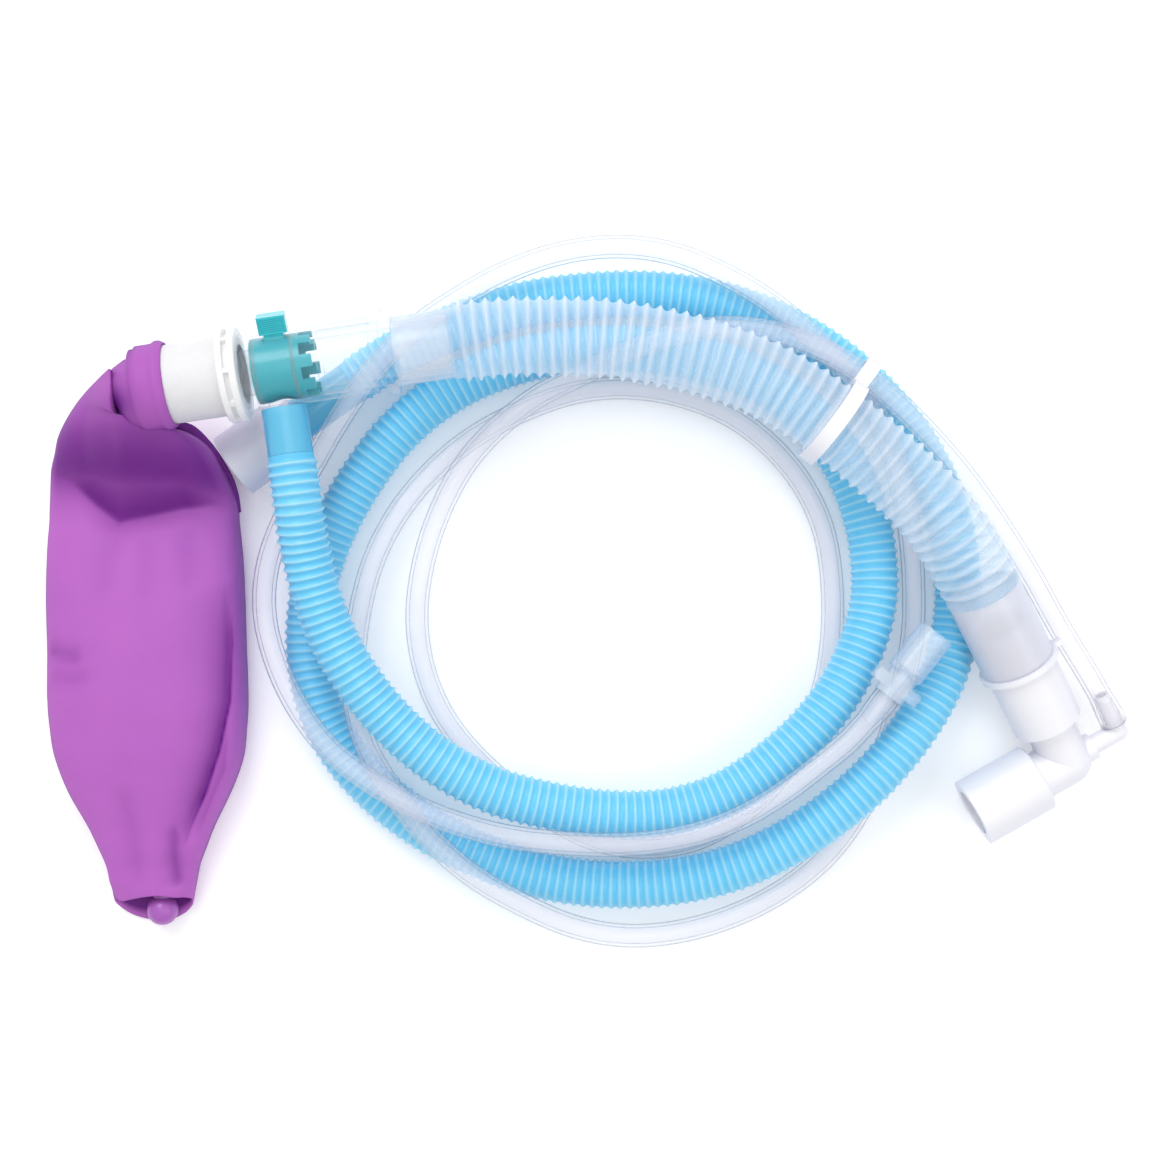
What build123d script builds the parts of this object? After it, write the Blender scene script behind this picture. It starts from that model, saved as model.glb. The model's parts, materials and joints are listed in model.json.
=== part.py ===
from build123d import *
import math
import os

# Paediatric T-piece breathing circuit, laid out in a coil on a flat surface.
# Millimetres, +Z up, the origin under the middle of the rigid set and its bag.

# ---- layout: where the two rigid ends stand ----
VALVE = (-94.1, 78.2, 40)             # middle of the valve, on the bore's centre line
VALVE_TURN = 8.3                        # degrees, the valve's axis about +Z from +X
ELBOW = (152.4, -43.4, 11.2)            # corner of the elbow, on both centre lines
ELBOW_TURN = 209.5                      # degrees, the patient port's direction from +X
ELBOW_TILT = 17.0                       # degrees, how far the elbow's leg rises
END_CUFF_TOP = (-75.5, 77, 10.8)        # where the scavenging hose runs into its end cuff
END_CUFF_TURN = 215.1                   # degrees, the end cuff's direction from +X
GAS_END = (93, -22, 26)                 # where the gas tube meets its connector's flange
GAS_END_TURN = 52.2                    # degrees, the gas connector's direction from +X

# ---- fits ----
RUN = 0.08                              # radial running gap of the bag swivel
SLEEVE_RUN = 0.08                       # radial running gap of the valve sleeve
SEAL_RUN = 0.04                         # radial gap left at an O-ring's crest
PUSH = 0.05                             # radial gap of a push fit
END_GAP = 0.2                           # axial gap between turning faces
SLOT_GAP = 0.4                          # gap round the thumb tab's neck in its slot

# ---- valve housing ----
BORE_R = 10.0
WALL = 1.1                              # wall over the valve sleeve
OUTLET_WALL = 1.5                       # wall over the outlet
SLEEVE_FROM = -6.9                      # the sleeve's bag end along the axis
SLEEVE_LENGTH = 18.4
STEP_AT = 5.5                           # where the housing begins to widen
HOUSING_END = 29.0
COLLAR_R = 11.9
COLLAR_WIDTH = 3.6
SPIGOT_R = 9.0
SPIGOT_BORE_R = 7.0
SPIGOT_LENGTH = 5.5                     # journal length inside the bushing
LIP = 0.8                               # how far the snap lip stands off the spigot
LIP_WIDTH = 1.4
SEAL_SECTION = 2.0                      # width of the swivel seal's groove
SEAL_DEPTH = 0.8

# ---- exhaust port and its cuff ----
PORT_R = 5.5
PORT_BORE_R = 4.5
PORT_REACH = 24.0                       # from the valve's axis
BOSS_R = 6.7
BOSS_REACH = 11.5
CUFF_WALL = 1.4
PORT_CUFF_REACH = 26.4

# ---- valve sleeve and thumb tab ----
SLEEVE_WALL = 1.6
WINDOW_R = 4.5
CASTLE_DEPTH = 3.6
CASTLES = 8
SLEEVE_SEAL_WIDTH = 1.1
SLEEVE_SEAL_DEPTH = 0.5
TAB_AT = 0.9                            # along the axis
TAB_ANGLE = 205.0                       # at rest, from the port about the axis
TAB_TRAVEL = 75.0
TAB_WIDTH = 8.6
TAB_THICK = 5.0
TAB_TIP_R = 17.0
TAB_RIBS = 7
NECK_WIDTH = 6.0                        # along the axis
NECK_THICK = 4.0

# ---- bag neck, bushing and swivel ring ----
BUSHING_R = 12.0
BUSHING_BORE_R = 10.5
BUSHING_LENGTH = 31.3
BUSHING_STEP = 5.8                      # length of the stepped seat for the ring
BUSHING_STEP_R = 11.0
RING_LIP = 2.0                          # width of each of the ring's two lips
RING_LIP_R = 14.45
RING_CORE_R = 12.5
RING_BARS = 8

# ---- outlet adapter and the limb's cuff ----
ADAPTER_FROM = 12.7
ADAPTER_FLANGE_AT = 32.2
ADAPTER_FLANGE = 3.7
ADAPTER_FLANGE_R = 13.15
ADAPTER_REACH = 52.0
ADAPTER_BORE_R = 7.5
ADAPTER_SPIGOT_R = 9.0
LIMB_CUFF_R = 10.5
LIMB_CUFF_END = 53.0

# ---- elbow and patient sleeve ----
LEG_R = 7.8
ELBOW_BORE_R = 6.0
LEG_REACH = 30.2                        # the 15 mm leg, along its own axis
PORT22_R = 11.1                         # 22 mm male patient port
PORT22_FROM = 10.5
PORT22_REACH = 34.0
PORT15_R = 7.7                          # 15 mm female bore inside it
PORT15_DEPTH = 20.0
SLEEVE22_R = 11.0
SLEEVE22_FROM = 15.2
SLEEVE22_REACH = 52.0
SLEEVE22_BORE_R = 8.5
SLEEVE_FLANGE_R = 12.8
SLEEVE_FLANGE_AT = 36.7
SLEEVE_FLANGE = 1.8
ARM_REACH = 15.0                        # the sleeve's arm beside the gas tube
PATIENT_CUFF_R = 11.7
PATIENT_CUFF_FROM = 38.7
PATIENT_CUFF_END = 64.9

# ---- gas inlet ----
INLET_R = 3.1
INLET_BORE_R = 1.6
INLET_BOSS_R = 4.4
INLET_BOSS_REACH = 9.6
INLET_CORNER = 19.0                     # from the elbow's corner
INLET_RISE = 14.0
INLET_SHOULDER = 3.5                    # where the gas tube stops on the inlet

# ---- end fittings ----
END_CUFF_R = 6.9
END_CUFF_LENGTH = 20.0
SCAV_R = 10.65
SCAV_NECK_R = 7.6
SCAV_LENGTH = 26.0
SCAV_BORE_R = 9.5
SCAV_BORE_DEPTH = 16.0
SCAV_SPIGOT = 12.0
GAS_CONN_R = 6.05
GAS_CONN_LENGTH = 24.6
GAS_CONN_BORE_R = 4.3
GAS_CONN_BORE_DEPTH = 14.0
GAS_EAR_SPAN = 17.0
GAS_EAR_THICK = 4.0
GAS_BARB = 10.0

# ---- hoses ----
LIMB_R = 12.5
HOSE_R = 8.0
GAS_R = 3.75
CLIP_WIDTH = 4.8
CLIP_WALL = 1.8
CLIP_GAP = 0.15
CLIP_ALONG = 0.63                       # share of the breathing limb's length
CLIP_TAIL = 4.0
CLIP_HOOK_DEPTH = 2.8                   # how far the hook reaches below the tube's middle

# ---- bag ----
BAG_NECK_R = 12.9
BAG_BEAD = 0.75                         # how far the rolled bead stands proud
BAG_BEAD_AT = -35.0
BAG_NECK_END = -33.0
TAIL = (-137, -92, 5.2)                 # middle of the tail plug's ball
TAIL_BALL_R = 5.0
TAIL_STEM_R = 3.0
TAIL_STEM = 16.0

# Sections of the bag across its length: y, left x, right x, bottom z, top z.
BAG_SECTIONS = [
    (83.5, -139.5, -132, 25, 49),
    (80.5, -146, -131, 12, 52),
    (72, -156, -129.5, 1, 53),
    (61, -163.5, -125.5, 0, 51),
    (44, -168, -115, 0, 43),
    (31, -169.5, -110.5, 0, 35),
    (8, -170.5, -109, 0, 29),
    (-24, -171, -108.5, 0, 24),
    (-42, -169, -110, 0, 21),
    (-56.5, -164, -115.5, 0, 18),
    (-71.5, -156.5, -122.5, 0, 15),
    (-82.5, -154, -126, 0, 13),
    (-90, -152, -128, 0, 12),
]

# Centre lines of the three hoses, from the valve or the elbow to the far end.
LIMB_ROUTE = [
    (-13, 88, 39), (3.5, 88, 39), (20, 85.5, 39), (37.5, 81.5, 38.5),
    (54, 75.5, 38), (68, 67, 38), (81.5, 57, 37.5), (94.5, 46, 37),
]
HOSE_ROUTE = [
    (-87, 24, 35.5), (-83, 6.5, 32), (-75.5, -11, 29.5), (-64, -27.5, 26.5),
    (-49, -41.5, 24.5), (-30.5, -52, 22.5), (-12, -57, 20.5), (7, -60, 19),
    (26, -59.5, 18), (43.5, -54, 17.5), (59, -43.5, 17), (73.5, -30, 16.5),
    (84.5, -13.5, 14.5), (91.5, 6, 12.5), (91, 25.5, 11), (86, 44, 10.5),
    (77, 60, 10), (64, 73, 9.5), (47.5, 82, 9), (29, 86.5, 8.5),
    (10, 89, 8.5), (-9.5, 87.5, 8.3), (-27.5, 83, 8.2), (-44.5, 75.5, 8.2),
    (-60.5, 63, 8.2), (-73, 46.5, 8.2), (-82.5, 29.5, 8.2), (-88.5, 11, 8.2),
    (-90, -8.5, 8.2), (-86.5, -27, 8.2), (-78.5, -42, 8.2), (-67, -54.5, 8.2),
    (-52.5, -65.5, 8.2), (-34.5, -74.5, 8.5), (-15.5, -81, 9), (5.5, -83.5, 10),
    (25.5, -82.5, 11.5), (44.5, -78.5, 12.5), (62, -70.5, 14), (77.5, -60, 15.5),
    (91.5, -47.5, 16.5), (103.5, -33, 15.5), (113.5, -17, 12), (118.5, 1, 8.5),
    (118.5, 19, 8.2), (115, 37, 8.2), (107.5, 54, 8.2), (96.5, 69, 8.2),
    (84, 81.5, 8.2), (69, 92, 8.2), (52, 100, 8.2), (34, 104.5, 8.2),
    (15.5, 106, 8.5), (-3.5, 105, 8.5), (-21.5, 102.5, 8.5), (-38, 97, 8.5),
    (-51.5, 91.5, 9),
]
GAS_ROUTE = [
    (148.5, -1, 18), (139.5, 15, 20), (129.5, 30.5, 21.5), (118.5, 45.5, 23.5),
    (106.5, 59, 25.5), (94.5, 70.5, 27.5), (82, 80, 29), (70, 86.5, 29),
    (57.5, 91, 27), (44.5, 93, 25), (32, 92, 23.5), (20, 89, 22),
    (7.5, 83.5, 20.5), (-4, 78, 18), (-16, 72.5, 16), (-28.5, 63, 14.5),
    (-39, 52, 12.5), (-47.5, 36.5, 10.5), (-53, 20, 9.5), (-55.5, 2, 8),
    (-53, -15.5, 7), (-46, -31.5, 6.5), (-33.5, -46, 5.5), (-17, -59.5, 5),
    (1.5, -70.5, 4.5), (21, -73, 4), (39, -69, 3.9), (55.5, -57, 3.9),
    (68, -41, 3.9), (76, -23, 3.9), (79, -4.5, 3.9), (79, 13.5, 3.9),
    (76.5, 30.5, 4), (69.5, 45.5, 4), (58.5, 58.5, 4), (44.5, 68.5, 4.5),
    (27.5, 74.5, 4.5), (10.5, 76.5, 5), (-6, 74.5, 5), (-23, 68, 5.5),
    (-38.5, 59.5, 6), (-51, 48.5, 7), (-61.5, 35.5, 8), (-69, 20.5, 9.5),
    (-73, 4.5, 11), (-74.5, -10, 13), (-74.5, -24.5, 15.5), (-70.5, -38.5, 18),
    (-62, -52, 20), (-51.5, -65.5, 21), (-37.5, -78.5, 20.5), (-21.5, -88, 18.5),
    (-5, -96, 15.5), (12, -99.5, 13), (29.5, -98.5, 10.5), (47.5, -93.5, 8.5),
    (64.5, -85, 7), (79, -73, 5.5), (90, -57, 3.9), (96.5, -40, 3.9),
    (101, -22.5, 3.9), (104.5, -4.5, 7), (104, 13.5, 11), (102, 30.5, 14.5),
    (98.5, 46.5, 17), (93, 62.5, 19), (83, 77, 20.5), (71.5, 89.5, 21),
    (57.5, 101.5, 21), (42.5, 110.5, 20), (26, 117.5, 19.5), (8, 119.5, 19.5),
    (-10, 117, 19.5), (-27, 110.5, 20.5), (-41, 102.5, 21), (-54.5, 93, 22.5),
    (-67, 80.5, 23), (-77.5, 65.5, 22.5), (-86.5, 50, 21.5), (-95.5, 34, 20.5),
    (-101, 19, 21), (-102, 3.5, 21.5), (-98, -11.5, 22.5), (-91.5, -25, 24),
    (-82, -37.5, 26), (-70, -47, 27.5), (-54.5, -56, 28.5), (-39, -62, 28.5),
    (-23, -66, 28.5), (-5.5, -67.5, 29), (11.5, -68, 29), (29, -66, 28.5),
    (45, -61, 28), (60, -52.5, 27), (72.5, -43, 26),
]


def unit(turn, rise=0.0):
    flat = math.cos(math.radians(rise))
    a = math.radians(turn)
    return Vector(flat * math.cos(a), flat * math.sin(a), math.sin(math.radians(rise)))


def stand(origin, along, across):
    """Location whose Z runs along the part and whose X points across it."""
    return Plane(origin=Vector(*origin), x_dir=across, z_dir=along).location


def turned(*corners):
    """Solid turned about Z from (radius, height) corners."""
    outline = Polyline(*[(r, 0, z) for r, z in corners], close=True)
    return revolve(make_face(outline), Axis.Z, 360)


def ring(outer, inner, start, end):
    return turned((inner, start), (outer, start), (outer, end), (inner, end))


def rod(radius, start, end):
    return turned((0, start), (radius, start), (radius, end), (0, end))


def block(x, y, z):
    """Box from (low, high) pairs along each axis."""
    size = [high - low for low, high in (x, y, z)]
    middle = [(high + low) / 2 for low, high in (x, y, z)]
    return Pos(*middle) * Box(*size)


def about_z(solid, angle):
    return Rot(0, 0, angle) * solid


def sideways(solid):
    """Turns a solid built along Z so that it runs along +X."""
    return Rot(0, 90, 0) * solid


parts = {}


def keep(name, solid, place=None):
    made = place * solid if place else solid
    parts[name] = made
    return made


# ---------------------------------------------------------------- valve group
axis = unit(VALVE_TURN)
port_dir = unit(VALVE_TURN - 90)
valve = stand(VALVE, axis, port_dir)

collar_end = SLEEVE_FROM
shoulder = collar_end - END_GAP
collar_start = collar_end - COLLAR_WIDTH
bushing_end = collar_start - END_GAP
bushing_start = bushing_end - BUSHING_LENGTH
journal_start = collar_start - SPIGOT_LENGTH
lip_start = journal_start - END_GAP - LIP_WIDTH
sleeve_end = SLEEVE_FROM + SLEEVE_LENGTH
groove_start = collar_start - SPIGOT_LENGTH / 2 - SEAL_SECTION / 2 - 0.2
groove_end = groove_start + SEAL_SECTION
outlet_r = BORE_R + OUTLET_WALL

housing = turned(
    (SPIGOT_BORE_R, lip_start),
    (SPIGOT_R + LIP - 0.5, lip_start),
    (SPIGOT_R + LIP, lip_start + 0.5),
    (SPIGOT_R + LIP, lip_start + LIP_WIDTH),
    (SPIGOT_R, lip_start + LIP_WIDTH),
    (SPIGOT_R, groove_start),
    (SPIGOT_R - SEAL_DEPTH, groove_start),
    (SPIGOT_R - SEAL_DEPTH, groove_end),
    (SPIGOT_R, groove_end),
    (SPIGOT_R, collar_start),
    (COLLAR_R, collar_start),
    (COLLAR_R, collar_end),
    (BORE_R + WALL, collar_end),
    (BORE_R + WALL, STEP_AT),
    (outlet_r, STEP_AT + 2.5),
    (outlet_r, HOUSING_END),
    (BORE_R, HOUSING_END),
    (BORE_R, shoulder),
    (SPIGOT_BORE_R, shoulder),
)
housing += sideways(rod(BOSS_R, BORE_R + WALL / 2, BOSS_REACH))
housing += sideways(rod(PORT_R, BORE_R + WALL / 2, PORT_REACH))
housing -= sideways(rod(PORT_BORE_R, BORE_R - 3, PORT_REACH + 1))
neck_half = math.degrees(math.asin(NECK_THICK / 2 / BORE_R))
gap_turn = math.degrees(SLOT_GAP / BORE_R)
slot_from = TAB_ANGLE - TAB_TRAVEL - neck_half - gap_turn
slot_span = TAB_TRAVEL + 2 * neck_half + 2 * gap_turn
slot_outline = Polyline(
    (BORE_R - 2, 0, TAB_AT - NECK_WIDTH / 2 - SLOT_GAP),
    (outlet_r + 1, 0, TAB_AT - NECK_WIDTH / 2 - SLOT_GAP),
    (outlet_r + 1, 0, TAB_AT + NECK_WIDTH / 2 + SLOT_GAP),
    (BORE_R - 2, 0, TAB_AT + NECK_WIDTH / 2 + SLOT_GAP),
    close=True,
)
housing -= about_z(revolve(make_face(slot_outline), Axis.Z, slot_span), slot_from)
keep("valve_housing", housing, valve)

seal_crest = SPIGOT_R + RUN - SEAL_RUN
keep("swivel_seal", ring(seal_crest, SPIGOT_R - SEAL_DEPTH, groove_start, groove_end), valve)

port_cuff = ring(PORT_R + PUSH + CUFF_WALL, PORT_R + PUSH, COLLAR_R + END_GAP, PORT_CUFF_REACH)
keep("port_cuff", sideways(port_cuff), valve)

# the valve sleeve turns inside the housing and is moved by its thumb tab
sleeve_r = BORE_R - SLEEVE_RUN
sleeve_in = sleeve_r - SLEEVE_WALL
sleeve = ring(sleeve_r, sleeve_in, SLEEVE_FROM, sleeve_end)
seal_starts = [SLEEVE_FROM + 0.5, WINDOW_R + 0.8]
for start in seal_starts:
    seal_root = sleeve_r - SLEEVE_SEAL_DEPTH
    sleeve -= ring(sleeve_r + 1, seal_root, start, start + SLEEVE_SEAL_WIDTH)
sleeve -= sideways(rod(WINDOW_R, sleeve_in - 2, sleeve_r + 2))
castle_width = math.pi * sleeve_r / CASTLES
for i in range(CASTLES):
    notch = block(
        (sleeve_in - 1, sleeve_r + 1),
        (-castle_width / 2, castle_width / 2),
        (sleeve_end - CASTLE_DEPTH, sleeve_end + 1),
    )
    sleeve -= about_z(notch, 360 * (i + 0.5) / CASTLES)
neck_root = sleeve_in + 0.4
pocket = block(
    (neck_root, sleeve_r + 1),
    (-NECK_THICK / 2 - PUSH, NECK_THICK / 2 + PUSH),
    (TAB_AT - NECK_WIDTH / 2 - PUSH, TAB_AT + NECK_WIDTH / 2 + PUSH),
)
sleeve -= about_z(pocket, TAB_ANGLE)
keep("valve_sleeve", sleeve, valve)
for name, start in zip(["sleeve_seal_bag", "sleeve_seal_patient"], seal_starts):
    seal = ring(BORE_R - SEAL_RUN, sleeve_r - SLEEVE_SEAL_DEPTH, start, start + SLEEVE_SEAL_WIDTH)
    keep(name, seal, valve)

pad_root = BORE_R + WALL + 0.5
tab = block(
    (neck_root, pad_root + 1),
    (-NECK_THICK / 2, NECK_THICK / 2),
    (TAB_AT - NECK_WIDTH / 2, TAB_AT + NECK_WIDTH / 2),
)
pad = block(
    (pad_root, TAB_TIP_R),
    (-TAB_THICK / 2, TAB_THICK / 2),
    (TAB_AT - TAB_WIDTH / 2, TAB_AT + TAB_WIDTH / 2),
)
pad = fillet(pad.edges().filter_by(Axis.X), 0.6)
tab += pad
rib_pitch = (TAB_TIP_R - pad_root - 1) / TAB_RIBS
for i in range(TAB_RIBS):
    at = pad_root + 0.5 + rib_pitch * (i + 0.5)
    groove = block(
        (at - rib_pitch / 4, at + rib_pitch / 4),
        (TAB_THICK / 2 - 0.25, TAB_THICK / 2 + 1),
        (TAB_AT - TAB_WIDTH / 2 - 1, TAB_AT + TAB_WIDTH / 2 + 1),
    )
    tab -= groove
keep("thumb_tab", about_z(tab, TAB_ANGLE), valve)

# ------------------------------------------------------------------ bag group
journal_r = SPIGOT_R + RUN
bushing = turned(
    (BUSHING_BORE_R, bushing_start),
    (BUSHING_R - 0.4, bushing_start),
    (BUSHING_R, bushing_start + 0.4),
    (BUSHING_R, bushing_end - BUSHING_STEP),
    (BUSHING_STEP_R, bushing_end - BUSHING_STEP),
    (BUSHING_STEP_R, bushing_end),
    (journal_r, bushing_end),
    (journal_r, journal_start),
    (BUSHING_BORE_R, journal_start),
)
keep("bag_bushing", bushing, valve)

ring_in = BUSHING_STEP_R + PUSH
ring_from = bushing_end - BUSHING_STEP + PUSH
swivel_ring = turned(
    (ring_in, ring_from),
    (RING_LIP_R - 0.4, ring_from),
    (RING_LIP_R, ring_from + 0.4),
    (RING_LIP_R, ring_from + RING_LIP),
    (RING_CORE_R, ring_from + RING_LIP),
    (RING_CORE_R, bushing_end - RING_LIP),
    (RING_LIP_R, bushing_end - RING_LIP),
    (RING_LIP_R, bushing_end - 0.4),
    (RING_LIP_R - 0.4, bushing_end),
    (ring_in, bushing_end),
)
for i in range(RING_BARS):
    bar = block(
        (RING_CORE_R - 0.5, RING_LIP_R - 0.5),
        (-0.8, 0.8),
        (ring_from + RING_LIP - 0.2, bushing_end - RING_LIP + 0.2),
    )
    swivel_ring += about_z(bar, 360 * i / RING_BARS)
keep("swivel_ring", swivel_ring, valve)

sections = []
for y, left, right, low, high in BAG_SECTIONS:
    middle = ((left + right) / 2, y, (low + high) / 2)
    across = Plane(origin=middle, x_dir=(1, 0, 0), z_dir=(0, -1, 0))
    sections.append(across * Ellipse((right - left) / 2, (high - low) / 2))
bag = loft(sections)
neck = turned(
    (0, bushing_start - 2),
    (BAG_NECK_R, bushing_start - 2),
    (BAG_NECK_R, BAG_BEAD_AT - 2),
    (BAG_NECK_R + BAG_BEAD, BAG_BEAD_AT - 1.2),
    (BAG_NECK_R + BAG_BEAD, BAG_BEAD_AT + 1.2),
    (BAG_NECK_R, BAG_NECK_END),
    (0, BAG_NECK_END),
)
bag += valve * neck
clear_neck = rod(BUSHING_R + PUSH, bushing_start - PUSH, BAG_NECK_END + 30)
bag -= valve * clear_neck
tail_dir = Vector(0, 1, 0)
tail_place = stand(TAIL, tail_dir, Vector(1, 0, 0))
bag -= tail_place * rod(TAIL_STEM_R + PUSH, -3 * TAIL_BALL_R, TAIL_STEM + PUSH)
bag -= Pos(*TAIL) * Sphere(TAIL_BALL_R + PUSH)
keep("breathing_bag", bag)
plug = Sphere(TAIL_BALL_R) + rod(TAIL_STEM_R, 0, TAIL_STEM)
keep("tail_plug", plug, tail_place)

# --------------------------------------------------------- outlet and its limb
adapter = turned(
    (ADAPTER_BORE_R, ADAPTER_FROM),
    (BORE_R - PUSH - 0.4, ADAPTER_FROM),
    (BORE_R - PUSH, ADAPTER_FROM + 0.4),
    (BORE_R - PUSH, ADAPTER_FLANGE_AT),
    (ADAPTER_FLANGE_R - 0.5, ADAPTER_FLANGE_AT),
    (ADAPTER_FLANGE_R, ADAPTER_FLANGE_AT + 0.5),
    (ADAPTER_FLANGE_R, ADAPTER_FLANGE_AT + ADAPTER_FLANGE - 0.5),
    (ADAPTER_FLANGE_R - 0.5, ADAPTER_FLANGE_AT + ADAPTER_FLANGE),
    (ADAPTER_SPIGOT_R, ADAPTER_FLANGE_AT + ADAPTER_FLANGE),
    (ADAPTER_SPIGOT_R, ADAPTER_REACH),
    (ADAPTER_BORE_R, ADAPTER_REACH),
)
keep("outlet_adapter", adapter, valve)
cuff_from = ADAPTER_FLANGE_AT + ADAPTER_FLANGE + PUSH
limb_cuff = ring(LIMB_CUFF_R, ADAPTER_SPIGOT_R + PUSH, cuff_from, LIMB_CUFF_END)
keep("limb_cuff_valve", limb_cuff, valve)

# -------------------------------------------------------------- patient group
port22 = unit(ELBOW_TURN)
leg_dir = unit(ELBOW_TURN - 90, ELBOW_TILT)
leg = stand(ELBOW, leg_dir, port22)
along_port = Rot(0, 90, 0)
elbow = rod(LEG_R, 0, LEG_REACH)
elbow += Sphere(LEG_R)
elbow += along_port * rod(LEG_R, 0, PORT22_FROM + 2)
elbow += along_port * turned(
    (0, PORT22_FROM),
    (PORT22_R - 0.6, PORT22_FROM),
    (PORT22_R, PORT22_FROM + 0.6),
    (PORT22_R, PORT22_REACH),
    (0, PORT22_REACH),
)
elbow += along_port * rod(INLET_BOSS_R, -INLET_BOSS_REACH, 0)
elbow -= rod(ELBOW_BORE_R, 0, LEG_REACH + 1)
elbow -= Sphere(ELBOW_BORE_R)
elbow -= along_port * rod(ELBOW_BORE_R, 0, PORT22_REACH + 1)
elbow -= along_port * rod(PORT15_R, PORT22_REACH - PORT15_DEPTH, PORT22_REACH + 1)
elbow -= along_port * rod(INLET_R + PUSH, -INLET_BOSS_REACH - 1, 0)
keep("elbow", elbow, leg)

patient_sleeve = ring(SLEEVE22_R, SLEEVE22_BORE_R, SLEEVE22_FROM, SLEEVE22_REACH)
patient_sleeve += ring(SLEEVE22_R - 1, LEG_R - 1, SLEEVE22_FROM, LEG_REACH + 1.5)
flange_span = (SLEEVE_FLANGE_AT, SLEEVE_FLANGE_AT + SLEEVE_FLANGE)
patient_sleeve += ring(SLEEVE_FLANGE_R, SLEEVE22_R - 1, *flange_span)
patient_sleeve += block((-ARM_REACH, -SLEEVE22_R + 0.8), (-1.6, 1.6), flange_span)
patient_sleeve -= rod(LEG_R + PUSH, SLEEVE22_FROM - 1, LEG_REACH + PUSH)
patient_sleeve -= rod(ELBOW_BORE_R, LEG_REACH, LEG_REACH + 3)
keep("patient_sleeve", patient_sleeve, leg)
patient_cuff = ring(PATIENT_CUFF_R, SLEEVE22_R + PUSH, PATIENT_CUFF_FROM, PATIENT_CUFF_END)
keep("limb_cuff_patient", patient_cuff, leg)

inlet_path = along_port * rod(INLET_R, -INLET_CORNER, -ELBOW_BORE_R)
inlet_turn = Pos(-INLET_CORNER, 0, 0)
barb_r = GAS_R - 1.3
inlet = inlet_path + inlet_turn * Sphere(INLET_R)
inlet += inlet_turn * rod(INLET_R, 0, INLET_SHOULDER)
inlet += inlet_turn * rod(barb_r, 0, INLET_RISE)
inlet -= along_port * rod(INLET_BORE_R, -INLET_CORNER, 0)
inlet -= inlet_turn * rod(INLET_BORE_R, 0, INLET_RISE + 1)
keep("gas_inlet", inlet, leg)

# --------------------------------------------------------------- end fittings
end_dir = unit(END_CUFF_TURN)
end_cuff_place = stand(END_CUFF_TOP, end_dir, Vector(0, 0, 1))
end_cuff_in = END_CUFF_R - CUFF_WALL
keep("hose_end_cuff", ring(END_CUFF_R, end_cuff_in, 0, END_CUFF_LENGTH), end_cuff_place)
scav = turned(
    (PORT_BORE_R - 0.5, END_CUFF_LENGTH - SCAV_SPIGOT),
    (end_cuff_in - PUSH, END_CUFF_LENGTH - SCAV_SPIGOT),
    (end_cuff_in - PUSH, END_CUFF_LENGTH + PUSH),
    (SCAV_NECK_R, END_CUFF_LENGTH + PUSH),
    (SCAV_NECK_R, END_CUFF_LENGTH + 4),
    (SCAV_R, END_CUFF_LENGTH + 8),
    (SCAV_R, END_CUFF_LENGTH + SCAV_LENGTH),
    (SCAV_BORE_R, END_CUFF_LENGTH + SCAV_LENGTH),
    (SCAV_BORE_R, END_CUFF_LENGTH + SCAV_LENGTH - SCAV_BORE_DEPTH),
    (PORT_BORE_R - 0.5, END_CUFF_LENGTH + SCAV_LENGTH - SCAV_BORE_DEPTH - 2),
)
keep("scavenging_connector", scav, end_cuff_place)

gas_dir = unit(GAS_END_TURN)
gas_place = stand(GAS_END, gas_dir, Vector(0, 0, 1))
gas_conn = turned(
    (INLET_BORE_R, -GAS_BARB),
    (barb_r, -GAS_BARB),
    (barb_r, 0),
    (GAS_CONN_R - 1.2, 0),
    (GAS_CONN_R - 1.2, 8),
    (GAS_CONN_R - 0.2, 9),
    (GAS_CONN_R, GAS_CONN_LENGTH),
    (GAS_CONN_BORE_R, GAS_CONN_LENGTH),
    (GAS_CONN_BORE_R, GAS_CONN_LENGTH - GAS_CONN_BORE_DEPTH),
    (INLET_BORE_R, GAS_CONN_LENGTH - GAS_CONN_BORE_DEPTH - 1.5),
)
ears = block((-4, 4), (-GAS_EAR_SPAN / 2, GAS_EAR_SPAN / 2), (2, 2 + GAS_EAR_THICK))
ears = fillet(ears.edges().filter_by(Axis.Z), 2.5)
gas_conn += ears - rod(GAS_CONN_R - 1.5, 1, 3 + GAS_EAR_THICK)
keep("gas_connector", gas_conn, gas_place)


# ---------------------------------------------------------------------- hoses
def hose(name, points, radius):
    """Straight runs joined by arcs as large as the two runs beside them allow."""
    route = [Vector(*p) for p in points]
    radii = []
    for before, here, after in zip(route, route[1:], route[2:]):
        first = here - before
        second = after - here
        turn = math.radians(first.get_angle(second))
        radii.append(0.45 * min(first.length, second.length) / math.tan(turn / 2))
    path = FilletPolyline(*route, radius=radii)
    start = Plane(origin=path @ 0, z_dir=path % 0)
    solid = sweep(start * Circle(radius), path)
    keep(name, solid)
    section = math.pi * radius ** 2
    print(name, "length", round(path.length, 1), "smallest radius", round(min(radii), 1))
    print("  volume", round(solid.volume), "section x length", round(section * path.length))
    return path


valve_at = Vector(*VALVE)
elbow_at = Vector(*ELBOW)
limb_start = valve_at + axis * LIMB_CUFF_END
limb_end = elbow_at + leg_dir * PATIENT_CUFF_END
hose_start = valve_at + port_dir * PORT_CUFF_REACH
inlet_corner = elbow_at - port22 * INLET_CORNER
gas_start = inlet_corner + leg_dir * INLET_SHOULDER

limb_lead_in = limb_start + axis * 14
limb_lead_out = limb_end + leg_dir * 23
limb_points = [limb_start, limb_lead_in] + LIMB_ROUTE + [limb_lead_out, limb_end]
limb_path = hose("breathing_limb", limb_points, LIMB_R)

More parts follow.
